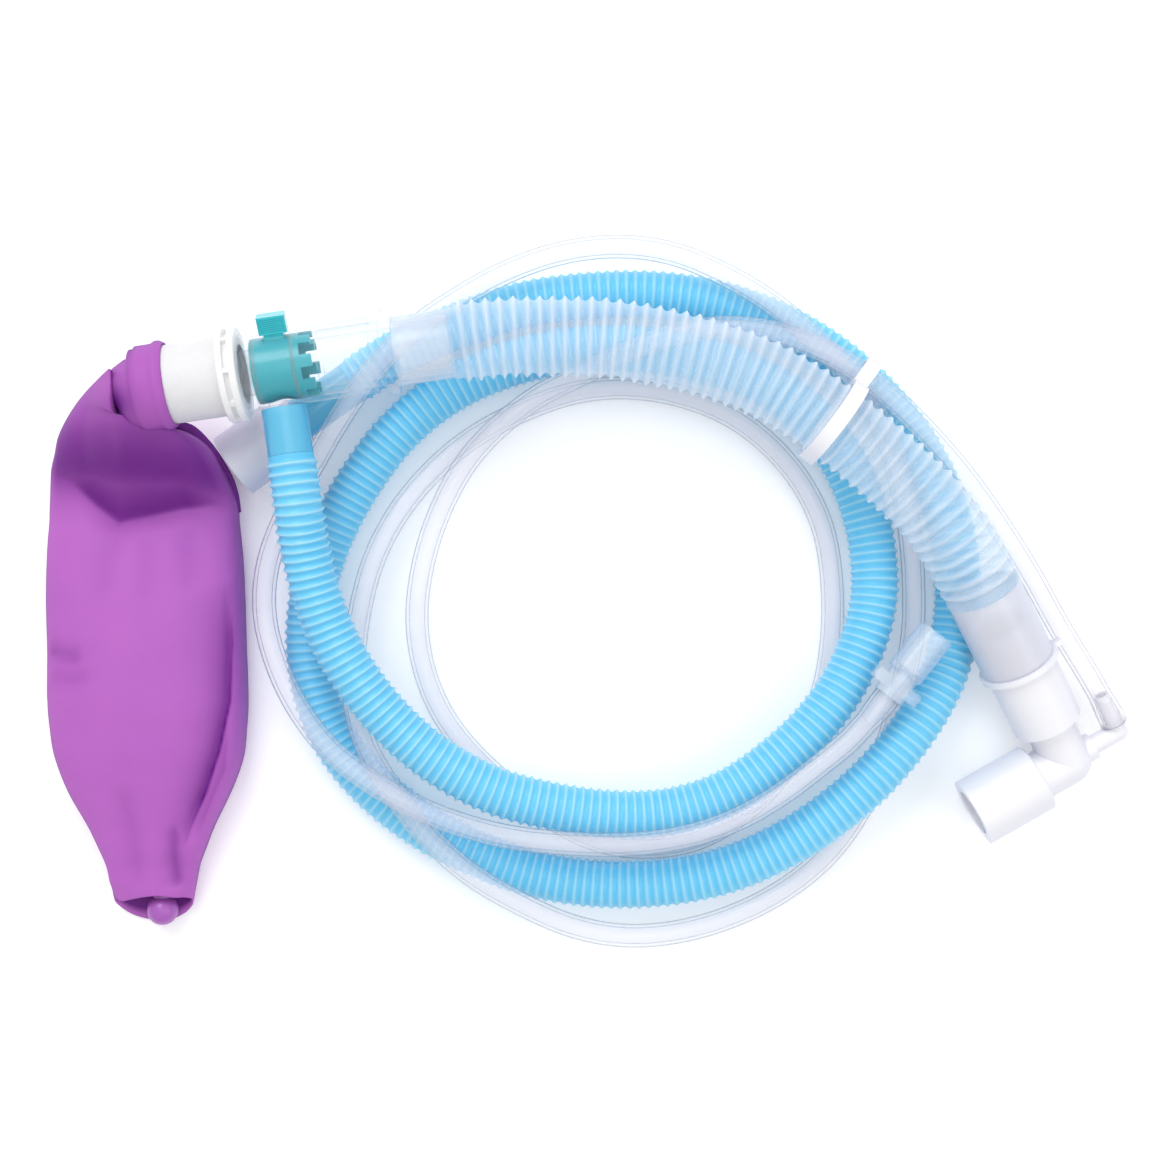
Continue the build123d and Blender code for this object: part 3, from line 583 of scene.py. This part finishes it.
lilac = Finish("lilac plastic", roughness=0.35, coat_weight=0.3, coat_roughness=0.25)
shade = lilac.edge(0.5)
lilac.set("Base Color", lilac.mix(shade, seen(0.95, 0.95, 0.99), seen(0.82, 0.82, 0.92)))
lilac.set("Alpha", 0.72 + 0.28 * shade)
lilac_plastic = keep_finish(lilac)

white = Finish("white plastic", roughness=0.55)
white.set("Base Color", white.mix(white.noise(250), seen(0.84, 0.84, 0.85), seen(0.88, 0.88, 0.89)))
white.bump(white.noise(2200, 2.0), 0.00006)
white_plastic = keep_finish(white)

offwhite = Finish("offwhite plastic", roughness=0.3, coat_weight=0.3, coat_roughness=0.2)
grain = offwhite.noise(200)
offwhite.set("Base Color", offwhite.mix(grain, seen(0.86, 0.86, 0.86), seen(0.90, 0.90, 0.90)))
# Painted light: a faint white glow brightens the ring, though it is no lamp.
offwhite.set("Emission Color", seen(0.95, 0.95, 0.97))
offwhite.set("Emission Strength", 0.1)
offwhite_plastic = keep_finish(offwhite)

teal = Finish("teal plastic", roughness=0.22, coat_weight=0.6, coat_roughness=0.1)
teal.set("Base Color", teal.mix(teal.noise(300), seen(0.03, 0.70, 0.75), seen(0.10, 0.76, 0.80)))
teal_plastic = keep_finish(teal)

deep = Finish("teal sleeve", roughness=0.35, coat_weight=0.2, coat_roughness=0.15)
deep.set("Base Color", deep.mix(deep.noise(300), seen(0.0, 0.61, 0.67), seen(0.03, 0.67, 0.72)))
teal_sleeve = keep_finish(deep)

seal = Finish("seal rubber", roughness=0.4)
seal.set("Base Color", seal.mix(seal.noise(400), seen(0.55, 0.80, 0.82), seen(0.62, 0.84, 0.86)))
seal.set("Alpha", 0.3 + 0.3 * seal.edge(0.5))
seal_rubber = keep_finish(seal)

pad = Finish("swivel seal", roughness=0.4)
pad.set("Base Color", pad.mix(pad.noise(400), seen(0.93, 0.94, 0.95), seen(0.96, 0.97, 0.97)))
swivel_seal_rubber = keep_finish(pad)

# %% [markdown]
# ## The purple film of the bag
# The bag is thin rubber film with a dry, silky surface. A fold shade value on the mesh paints shade
# into its colour, deepening it to a blue-violet in the creases and hollows where shade falls.

# %% Purple film
BAG_LIGHT = seen(0.72, 0.41, 0.75)
BAG_SHADE = seen(0.36, 0.02, 0.48)

film = Finish("purple film", roughness=0.55, coat_weight=0.02, coat_roughness=0.4)
film.set("Specular IOR Level", 0.12)
cloud = film.noise(45, 4.0)
even = film.mix(cloud, BAG_LIGHT, seen(0.67, 0.37, 0.72))
# Painted shade: the fold shade value darkens the film to deep violet.
shaded = film.mix(film.attribute("fold_shade"), even, BAG_SHADE)
# Painted shade: the outline, where the film turns away, is darkened to the same violet.
film.set("Base Color", film.mix(film.edge(0.5) ** 6, shaded, BAG_SHADE))
film.bump(film.noise(110, 4.0) + 0.2 * film.noise(1500, 2.0), 0.0006, 0.5)
purple_film = keep_finish(film)

plug = Finish("purple plug", roughness=0.35, coat_weight=0.2, coat_roughness=0.25)
plug.set("Base Color", plug.mix(plug.noise(120), seen(0.66, 0.36, 0.72), seen(0.60, 0.30, 0.67)))
purple_plug = keep_finish(plug)
print("finishes:", ", ".join(sorted(finishes)))

# %% [markdown]
# ## The two corrugated hoses
# Each hose's wall is grown along its line and hung on the circuit, and the CAD model's hose is
# hidden. The limb goes back into the object at the elbow.

# %% Scavenging hose and breathing limb
HOSE_DIAMETER = 0.016
LIMB_DIAMETER = 0.025

hose = corrugated_tube(
    "scavenging_hose_wall",
    hose_line,
    blue_film,
    crest_radius=HOSE_DIAMETER / 2,
    depth=1.0 * MM,
    pitch=2.85 * MM,
    steps=6,
    sides=30,
    sharp_crests=1.0,
    plain_end=0.0,
    start_radius=6.9 * MM,
    end_radius=6.9 * MM,
)
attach(hose, "circuit")
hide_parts("scavenging_hose")

limb = corrugated_tube(
    "breathing_limb_wall",
    limb_line,
    clear_film,
    crest_radius=LIMB_DIAMETER / 2,
    depth=1.6 * MM,
    pitch=3.85 * MM,
    steps=8,
    sides=44,
    sharp_crests=1.0,
    plain_end=0.0,
    start_radius=10.7 * MM,
    end_radius=11.9 * MM,
)
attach(limb, "circuit")
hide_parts("breathing_limb")

# %% [markdown]
# ## A surface from loops of points
# The gas tube and the bag are both made from loops: rings of points in order, each joined to the
# next by a strip of faces, and closed at each end by a fan. It is the oldest way to loft a shape,
# and it gives full say over every ring.

# %% Loft a closed mesh through loops


def lofted(name, loops, material, closed_round=False):
    """A mesh through loops of the same number of points. Ends are closed unless it goes round."""
    count = len(loops[0])
    points = [tuple(point) for loop in loops for point in loop]
    faces = []
    strips = len(loops) if closed_round else len(loops) - 1
    for i in range(strips):
        here = i * count
        after = (i + 1) % len(loops) * count
        for j in range(count):
            k = (j + 1) % count
            faces.append((here + j, here + k, after + k, after + j))
    if not closed_round:
        for loop, first, flip in [(loops[0], 0, True), (loops[-1], len(points) - count, False)]:
            middle = len(points)
            points.append(tuple(np.mean([tuple(p) for p in loop], axis=0)))
            for j in range(count):
                pair = (first + j, first + (j + 1) % count)
                faces.append((middle, *(pair[::-1] if flip else pair)))
    mesh = bpy.data.meshes.new(name)
    mesh.from_pydata(points, [], faces)
    shell = bmesh.new()
    shell.from_mesh(mesh)
    bmesh.ops.recalc_face_normals(shell, faces=shell.faces)
    shell.to_mesh(mesh)
    shell.free()
    mesh.polygons.foreach_set("use_smooth", [True] * len(mesh.polygons))
    mesh.materials.append(material)
    piece = bpy.data.objects.new(name, mesh)
    bpy.context.scene.collection.objects.link(piece)
    print(name, len(mesh.polygons), "faces")
    return piece


# %% [markdown]
# ## The gas tube
# A clear tube shows both its outer wall and its bore, so it has both. A ring that is carried along
# the line must not twist, so each ring's crosswise direction is the last one's, bent to suit.

# %% Rings along a line without twist


def ring_frames(line):
    """For each point of a line: the point and two directions across it."""
    across = Vector((0, 0, 1))
    frames = []
    for i, point in enumerate(line):
        ahead = (line[min(i + 1, len(line) - 1)] - line[max(i - 1, 0)]).normalized()
        across = (across - ahead * across.dot(ahead)).normalized()
        frames.append((point, across, ahead.cross(across)))
    return frames


def ring_at(place, radius, sides):
    point, first, second = place
    turns = [2 * math.pi * j / sides for j in range(sides)]
    return [point + (first * math.cos(t) + second * math.sin(t)) * radius for t in turns]


# %% Outer wall one way, bore back the other way
GAS_DIAMETER = 0.0075
GAS_BORE = 0.0052
FLARE = 0.7 * MM
FLARE_LENGTH = 0.009
GAS_SIDES = 20

gas_frames = ring_frames(gas_line)
walked = 0.0
outside = []
inside = []
gas_length = length_of(gas_line)
for i, place in enumerate(gas_frames):
    if i:
        walked += (gas_line[i] - gas_line[i - 1]).length
    from_end = min(walked, gas_length - walked)
    wider = FLARE * (1 - min(1, from_end / FLARE_LENGTH)) ** 0.5
    outside.append(ring_at(place, GAS_DIAMETER / 2 + wider, GAS_SIDES))
    inside.append(ring_at(place, GAS_BORE / 2 + wider, GAS_SIDES))
gas_tube = lofted("gas_tube_wall", outside + inside[::-1], clear_tubing, closed_round=True)
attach(gas_tube, "circuit")
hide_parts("gas_tube")

# %% [markdown]
# ## The bag
# The bag hangs from the turning bushing, folds over on itself just past it, and lies flat on the
# table down to its open tail. It could be simulated as cloth, but its few big folds are what it is
# known by, so its shape is drawn: cross-sections from the fold to the tail, each with the height of
# its crown, then creases and pleats pressed into the top as lines with a depth and a width.

# %% Cross-sections: left rim, right rim, crown over the line between them, underside
BAG_ROWS = [
    ((-144.0, 77.5, 46), (-143.4, 76.5, 46), 0.6, 41),
    ((-149.0, 75.5, 38), (-143.0, 71.0, 45), 2.5, 32),
    ((-156.0, 72.0, 27), (-142.5, 64.5, 41), 7.0, 19),
    ((-161.5, 67.5, 20), (-137.0, 63.0, 37), 11.0, 9),
    ((-165.5, 62.5, 16), (-129.0, 61.0, 33), 15.0, 3),
    ((-168.0, 58.5, 13), (-123.5, 59.5, 29), 17.5, 0.6),
    ((-169.5, 54.0, 11), (-119.0, 56.0, 24), 18.5, 0.3),
    ((-171.0, 49.5, 10), (-116.0, 51.0, 20), 16.5, 0.3),
    ((-172.0, 44.5, 8), (-113.5, 45.0, 16), 14.5, 0.3),
    ((-172.5, 38.0, 7), (-112.0, 38.5, 12), 12.0, 0.3),
    ((-172.5, 31.5, 7), (-112.0, 32.5, 9), 11.5, 0.3),
    ((-173.0, 20.5, 6), (-111.0, 20.5, 7), 15.0, 0.3),
    ((-173.0, 7.5, 6), (-110.5, 7.5, 6), 17.5, 0.3),
    ((-172.5, -8.5, 6), (-110.0, -8.5, 6), 18.5, 0.3),
    ((-172.5, -23.0, 6), (-109.5, -24.5, 6), 18.5, 0.3),
    ((-172.0, -33.5, 5), (-110.0, -34.0, 6), 18.0, 0.3),
    ((-170.5, -42.5, 5), (-111.0, -43.0, 6), 17.0, 0.3),
    ((-166.5, -53.5, 5), (-114.5, -53.0, 6), 14.5, 0.3),
    ((-160.5, -64.5, 5), (-120.0, -64.5, 6), 11.5, 0.3),
    ((-157.0, -72.0, 5), (-123.0, -72.0, 6), 10.0, 0.3),
    ((-154.5, -77.5, 6), (-125.0, -77.5, 6), 8.0, 0.3),
    ((-153.5, -82.5, 6), (-126.0, -82.5, 6), 7.0, 0.3),
]

# %% Even sections between the drawn ones


def smooth_between(values, steps):
    """Catmull-Rom: values in rows, with steps new rows for each pair."""
    values = np.array(values, float)
    padded = np.vstack([2 * values[0] - values[1], values, 2 * values[-1] - values[-2]])
    rows = []
    for i in range(len(values) - 1):
        a, b, c, d = padded[i : i + 4]
        for t in np.arange(steps) / steps:
            near = 2 * b + (c - a) * t + (2 * a - 5 * b + 4 * c - d) * t**2
            rows.append((near + (3 * b - a - 3 * c + d) * t**3) / 2)
    rows.append(values[-1])
    return np.array(rows)


BAG_SIDES = 144
ROW_STEPS = 7
flat_rows = [(*left, *right, crown, low) for left, right, crown, low in BAG_ROWS]
bag_rows = smooth_between(flat_rows, ROW_STEPS)
print(len(bag_rows), "sections of", BAG_SIDES, "points")

# %% The tail's open mouth: an upper lip that arches up, a lower lip that reaches further
UPPER_LIP = [
    (-153.0, -87.5, 5.0),
    (-150.0, -88.8, 8.2),
    (-146.0, -87.8, 10.4),
    (-141.5, -86.8, 11.8),
    (-136.5, -86.4, 12.2),
    (-132.0, -87.2, 11.0),
    (-129.0, -87.5, 8.6),
    (-127.0, -88.5, 5.4),
]
LOWER_LIP = [
    (-153.0, -87.5, 5.0),
    (-152.5, -90.5, 2.6),
    (-148.0, -94.2, 0.9),
    (-142.0, -96.0, 0.6),
    (-136.0, -96.2, 0.5),
    (-131.0, -94.0, 0.8),
    (-128.0, -91.0, 2.4),
    (-127.0, -88.5, 5.4),
]


def along_polyline(points, count, first=0.0, last=1.0):
    """count points evenly along a line of straight runs, between two shares of its length."""
    points = np.array(points, float)
    runs = np.linalg.norm(np.diff(points, axis=0), axis=1)
    reached = np.concatenate([[0], np.cumsum(runs)]) / runs.sum()
    shares = np.linspace(first, last, count)
    return np.stack([np.interp(shares, reached, points[:, i]) for i in range(3)], axis=1)


def rounded_line(points):
    return smooth_between(points, 6)


def mouth_loop():
    """The rim's loop, starting at its right end and going over the top."""
    half = BAG_SIDES // 2
    top = along_polyline(rounded_line(UPPER_LIP)[::-1], half + 1)
    low = along_polyline(rounded_line(LOWER_LIP), half + 1)
    return np.vstack([top[:-1], low[:-1]])


# %% Section loops
TURNS = 2 * np.pi * np.arange(BAG_SIDES) / BAG_SIDES
OVER = np.maximum(np.sin(TURNS), 0)
UNDER = np.maximum(-np.sin(TURNS), 0)


def section_loop(row):
    left, right, crown, low = row[:3], row[3:6], row[6], row[7]
    across = (right - left) / 2
    loop = (left + right) / 2 + np.cos(TURNS)[:, None] * across
    rim = loop[:, 2].copy()
    flatness = np.interp(loop[:, 1].mean(), [28, 42], [0.55, 0.9])
    loop[:, 2] = rim + crown * OVER**flatness - (rim - low) * UNDER**0.35
    return loop


body_loops = [section_loop(row) for row in bag_rows]
rim = mouth_loop()
last = body_loops[-1]
for share in (0.35, 0.7, 0.9):
    body_loops.append(last * (1 - share) + rim * share)
body_loops.append(rim)

# %% The mouth turns in over a thin lip and runs back to a closed end
LIP = 0.7
POCKET = [(0.4, 0.0), (LIP, 0.5), (LIP, 2.0), (1.4, 6.0), (2.4, 10.0), (3.4, 13.5)]
mouth_middle = rim.mean(axis=0)


def pocket_loop(inset, depth):
    """The rim moved inwards by inset and back up the bag by depth."""
    away = rim - mouth_middle
    size = np.maximum(np.linalg.norm(away[:, [0, 2]], axis=1), 1e-6)
    loop = rim - away * np.minimum(inset / size, 0.9)[:, None]
    level = mouth_middle[1] + (loop[:, 1] - mouth_middle[1]) * max(0.0, 1 - depth / 12)
    loop[:, 1] = level + depth
    return loop


body_loops += [pocket_loop(inset, depth) for inset, depth in POCKET]
print(len(body_loops), "loops in the bag's body")

# %% [markdown]
# ## Creases and pleats
# A fold is a line seen from above, with a depth and a width on each side. A crease presses the top
# down most on its line and less away from it. A pleat is a step: the film is lower on one side,
# with a sharp groove at the step. Both also add painted shade to the colour through the fold shade
# value, darkest in the creases and under the steps, where shade falls.

# %% Lines of the folds, in millimetres seen from above
V_LINE = [
    (-170, 50),
    (-164, 45.5),
    (-156, 37.5),
    (-149, 32),
    (-139.5, 34),
    (-128.5, 36.5),
    (-119.5, 37.5),
    (-112, 37),
]
CREASES = [
    # line, depth, width above, width below, sharpness, painted shade above, painted shade below
    (V_LINE, 5.0, 9, 4, 1.3, 0.95, 0.12),
    # Colour only, no depth: painted shade above the V line and across the neck's bulge.
    (V_LINE, 0.0, 17, 2, 1.6, 0.85, 0.0),
    ([(-190, 54), (-140, 49), (-90, 46)], 0.0, 17, 10, 2.0, 0.8, 0.8),
    ([(-143.5, 74), (-142.3, 66), (-142, 58), (-143, 47)], -1.8, 3, 3, 1.6, 0.0, 0.0),
    ([(-151, 73), (-155, 62), (-156.5, 50), (-155, 41)], 1.6, 4, 4, 1.5, 0.3, 0.3),
    ([(-136, 60), (-133.5, 50), (-131, 42)], 1.5, 4, 3, 1.5, 0.35, 0.35),
    ([(-127, 57), (-124, 49), (-121, 42)], -1.2, 4, 3, 1.5, 0.3, 0.3),
    ([(-139, 31), (-138.5, 18), (-139.5, 4)], 0.8, 4, 4, 1.6, 0.1, 0.1),
    ([(-127, 33), (-125, 22), (-125.5, 10)], 0.8, 4, 4, 1.6, 0.1, 0.1),
    ([(-149, 30), (-152, 20), (-153, 8)], 0.7, 4, 4, 1.6, 0.1, 0.1),
    ([(-172, -7), (-166, -9.5), (-158, -10.5)], 1.8, 2.5, 2.5, 1.3, 0.35, 0.35),
    ([(-171, -16), (-162, -17), (-155, -16)], 1.1, 3, 3, 1.4, 0.2, 0.2),
    ([(-147, -50), (-145, -66), (-143.5, -84)], 1.3, 4, 4, 1.5, 0.15, 0.15),
    ([(-131, -62), (-131.5, -75), (-130.5, -86)], 1.8, 2.5, 2.5, 1.2, 0.5, 0.5),
]
PLEATS = [
    # line, drop to the right of it, groove, painted shade on the lower layer
    (
        [(-113.5, 14), (-112.4, -5), (-113, -24), (-116.5, -40), (-121, -53), (-126, -64), (-129, -73)],
        2.6,
        1.6,
        1.0,
    ),
    ([(-113.2, -30), (-115, -46), (-120, -57), (-125, -68.5)], 0.9, 0.9, 0.4),
]

# %% How far each point is from a fold, and on which side


def beside(points, line):
    """Distance to a line, its side (positive to the right of the way it runs) and the share along."""
    line = np.array(line, float)
    runs = np.linalg.norm(np.diff(line, axis=0), axis=1)
    before = np.concatenate([[0], np.cumsum(runs)[:-1]])
    best = np.full(len(points), np.inf)
    side = np.zeros(len(points))
    share = np.zeros(len(points))
    for start, end, run, gone in zip(line, line[1:], runs, before):
        way = (end - start) / run
        reach = np.clip((points - start) @ way, 0, run)
        off = points - start - reach[:, None] * way
        far = np.linalg.norm(off, axis=1)
        nearer = far < best
        turn = (points - start)[:, 0] * way[1] - (points - start)[:, 1] * way[0]
        best = np.where(nearer, far, best)
        side = np.where(nearer, np.sign(turn), side)
        share = np.where(nearer, (gone + reach) / runs.sum(), share)
    return best, side, share


def press_folds_and_shade(loops, first, last):
    """Moves the tops of the loops by every crease and pleat, and returns the painted fold shade value."""
    sheet = np.concatenate(loops[first:last])
    over = np.tile(OVER, last - first)
    seen_from_above = sheet[:, :2]
    fold_shade = np.zeros(len(sheet))
    drop = np.zeros(len(sheet))
    for line, depth, above, below, sharpness, shade_above, shade_below in CREASES:
        far, side, share = beside(seen_from_above, line)
        width = np.where(side < 0, above, below)
        ends = np.minimum(1, 5 * share * (1 - share) + 0.15)
        shape = np.exp(-((far / width) ** sharpness)) * ends
        drop += depth * shape
        # Painted shade: each crease darkens the colour by its own amount on each side.
        blend = 0.5 - 0.5 * np.tanh(side * far / 1.2)
        colour = shade_below + (shade_above - shade_below) * blend
        fold_shade = np.maximum(fold_shade, colour * shape)
    for line, step, groove, colour in PLEATS:
        far, side, share = beside(seen_from_above, line)
        ends = np.minimum(1, 6 * share * (1 - share))
        lower = (side > 0) * np.exp(-far / 14) * np.minimum(1, far / 0.8)
        drop += ends * (step * lower + groove * np.exp(-far / 0.9))
        # Painted shade: under the pleat's step and in its groove.
        under = np.maximum((side > 0) * np.exp(-far / 4), np.exp(-far / 0.7))
        fold_shade = np.maximum(fold_shade, colour * ends * under)
    sheet[:, 2] -= drop * np.minimum(1, 1.6 * over)
    fold_shade *= np.minimum(1, 2 * over)
    count = len(loops[0])
    for i in range(first, last):
        loops[i] = sheet[(i - first) * count : (i - first + 1) * count]
    return fold_shade.reshape(last - first, count)


fold_shades = np.zeros((len(body_loops), BAG_SIDES))
pressed_to = len(bag_rows)
fold_shades[:pressed_to] = press_folds_and_shade(body_loops, 0, pressed_to)
inner = len(body_loops) - len(POCKET)
# Painted shade: the inside of the mouth's pocket, past its lip, is darkened.
fold_shades[inner + 2 :] = 0.8
print("the deepest fold value is", round(float(fold_shades.max()), 2))

# %% The body's piece, with its painted fold shade


def paint_fold_shade(piece, values):
    """Keeps a fold shade value, painted shade, on each point; the closing fans' points take the last ones, a dark
    0.8.
    """
    missing = len(piece.data.vertices) - len(values)
    # Painted shade: the closing fans' middle points are dark.
    values = np.concatenate([values, np.full(missing, 0.8)])
    piece.data.attributes.new("fold_shade", "FLOAT", "POINT").data.foreach_set("value", values)


bag_body = lofted("bag_body", [loop * MM for loop in body_loops], purple_film)
paint_fold_shade(bag_body, fold_shades.reshape(-1))

# %% [markdown]
# ## The bag's neck
# The film's rolled bead grips the bushing. Behind the bushing the neck collapses into a pocket
# under the first fold, so its rings turn from circles on the valve's centre line into a narrow slot.
# The pocket is darkened with painted shade.

# %% Rings of the neck, given by place along the valve's centre line and radius
NECK_RINGS = [
    (-43.6, 11.4),
    (-43.4, 12.08),
    (-34.0, 12.08),
    (-33.2, 12.15),
    (-32.9, 12.5),
    (-33.2, 12.9),
    (-33.8, 13.25),
    (-34.3, 13.55),
    (-35.0, 13.65),
    (-35.7, 13.55),
    (-36.3, 13.2),
    (-36.9, 12.95),
    (-38.0, 12.9),
    (-40.0, 12.9),
    (-41.6, 12.85),
]
NECK_SIDES = 96
neck_turns = 2 * np.pi * np.arange(NECK_SIDES) / NECK_SIDES


def neck_ring(along, radius):
    middle = np.array(valve_at / MM + valve_axis * along)
    right = np.array(port_dir)[None, :] * np.cos(neck_turns)[:, None]
    top = np.array(UP)[None, :] * np.sin(neck_turns)[:, None]
    return middle + radius * (right + top)


def slot_ring(middle, across, height):
    """A flat ring of the collapsed neck: its middle, half its width as a vector, half its height."""
    wave = np.cos(neck_turns)[:, None] * np.array(across, float)
    return np.array(middle, float) + wave + np.sin(neck_turns)[:, None] * np.array([0, 0, height], float)


neck_loops = [neck_ring(along, radius) for along, radius in NECK_RINGS]
COLLAPSE = [
    ((-138.0, 71.7, 39.0), (-0.5, -10.6, 0), 11.5),
    ((-141.0, 71.8, 38.5), (0.0, -9.2, 0), 9.0),
    ((-143.6, 72.4, 38.0), (0.6, -6.4, 0), 7.0),
    ((-147.2, 72.5, 34.0), (1.2, -3.4, 0), 4.5),
    ((-151.0, 72.0, 29.0), (1.0, -1.8, 0), 2.5),
]
# Painted shade: the neck's colour darkens around the pocket, and lightly all over.
POCKET_SHADE_AT = np.array([-142.4, 66.5])
POCKET_SHADE_SIZE = 5.5
neck_loops += [slot_ring(*ring) for ring in COLLAPSE]
off_pocket = np.linalg.norm(np.concatenate(neck_loops)[:, :2] - POCKET_SHADE_AT, axis=1)
neck_fold_shades = 0.15 + 0.85 * np.exp(-((off_pocket / POCKET_SHADE_SIZE) ** 2))
bag_neck = lofted("bag_neck", [loop * MM for loop in neck_loops], purple_film)
paint_fold_shade(bag_neck, neck_fold_shades)

# %% [markdown]
# ## The back layer
# Past the fold, the bag's second layer shows as a crescent to the right of the first, darkened with painted shade.

# %% A thin crescent under the right shoulder
BACK_EDGE = [
    (-131.0, 62.5, 27.0),
    (-124.0, 62.8, 25.0),
    (-118.0, 57.0, 21.0),
    (-113.2, 48.5, 16.0),
    (-111.4, 42.0, 12.0),
    (-111.2, 36.0, 8.0),
]
BACK_SIDES = 24
back_turns = 2 * np.pi * np.arange(BACK_SIDES) / BACK_SIDES
edge_line = along_polyline(rounded_line(BACK_EDGE), 40)
back_loops = []
for i, place in enumerate(edge_line):
    slim = math.sin(math.pi * (i + 0.5) / len(edge_line)) ** 0.5
    wide = np.array([-5.5, -2.5, 0.0]) * slim
    thick = np.array([0.0, 0.0, 1.4]) * slim
    middle = place + wide
    back_loops.append(middle - np.cos(back_turns)[:, None] * wide + np.sin(back_turns)[:, None] * thick)
bag_back = lofted("bag_back_layer", [loop * MM for loop in back_loops], purple_film)
# Painted shade: the whole crescent is darkened.
paint_fold_shade(bag_back, np.full(len(back_loops) * BACK_SIDES, 0.75))

for piece in (bag_body, bag_neck, bag_back):
    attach(piece, "bag")
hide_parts("breathing_bag")

# %% [markdown]
# ## Finishes on the CAD parts
# The moulded parts keep their CAD meshes, which are true to a hair. Each only gets its finish.

# %% Which part has which finish
PART_FINISHES = {
    "tail_plug": purple_plug,
    "bag_bushing": white_plastic,
    "swivel_ring": offwhite_plastic,
    "swivel_seal": swivel_seal_rubber,
    "valve_housing": clear_plastic,
    "valve_sleeve": teal_sleeve,
    "thumb_tab": teal_plastic,
    "sleeve_seal_bag": seal_rubber,
    "sleeve_seal_patient": seal_rubber,
    "port_cuff": blue_cuff,
    "outlet_adapter": clear_plastic,
    "limb_cuff_valve": clear_cuff,
    "limb_cuff_patient": milky_cuff,
    "tube_clip": frosted,
    "patient_sleeve": frosted,
    "elbow": frosted,
    "gas_inlet": frosted,
    "gas_connector": clear_connector,
    "hose_end_cuff": blue_cuff,
    "scavenging_connector": lilac_plastic,
}
for name, material in PART_FINISHES.items():
    for place in nodes[name].material_slots:
        place.material = material
print(len(PART_FINISHES), "parts finished")

# %% [markdown]
# ## Table and light
# A pale table, a bright room and large soft lamps. The brightest lamp stands beyond the valve, so
# slopes that face the other way, such as the bag's fold, fall into shade.

# %% Table
TABLE_SIZE = 1.6
table_mesh = bpy.data.meshes.new("table")
half = TABLE_SIZE / 2
low = min(cad_box[0][2], 0.0) - 0.2 * MM
corners = [(-half, -half, low), (half, -half, low), (half, half, low), (-half, half, low)]
table_mesh.from_pydata(corners, [], [(0, 1, 2, 3)])
table_top = Finish("table top", roughness=0.6)
grain = table_top.noise(4)
table_top.set("Base Color", table_top.mix(grain, seen(0.985, 0.985, 0.99), seen(0.99, 0.99, 0.99)))
table_top.set("Emission Color", seen(0.98, 0.98, 1.0))
table_top.set("Emission Strength", 0.12)
table_mesh.materials.append(table_top.material)
table = bpy.data.objects.new("table", table_mesh)
bpy.context.scene.collection.objects.link(table)

# %% Room light and lamps
ROOM_LIGHT = 0.76
LAMPS = [
    # name, place, size, power
    ("key", (-0.45, 0.95, 1.15), 0.9, 9.5),
    ("fill", (0.9, -0.25, 1.0), 0.8, 2.5),
    ("top", (0.1, 0.1, 1.6), 1.2, 3.0),
]

world = bpy.data.worlds.new("room")
world.use_nodes = True
world.node_tree.nodes["Background"].inputs["Color"].default_value = (1, 1, 1, 1)
world.node_tree.nodes["Background"].inputs["Strength"].default_value = ROOM_LIGHT
bpy.context.scene.world = world
for name, place, size, power in LAMPS:
    lamp_data = bpy.data.lights.new(name, "AREA")
    lamp_data.shape = "DISK"
    lamp_data.size = size
    lamp_data.energy = power
    lamp = bpy.data.objects.new(name, lamp_data)
    lamp.location = place
    lamp.rotation_euler = (Vector((0, 0, 0)) - Vector(place)).to_track_quat("-Z", "Y").to_euler()
    bpy.context.scene.collection.objects.link(lamp)
bpy.context.scene.view_settings.view_transform = "Standard"
bpy.context.scene.cycles.transparent_max_bounces = 32
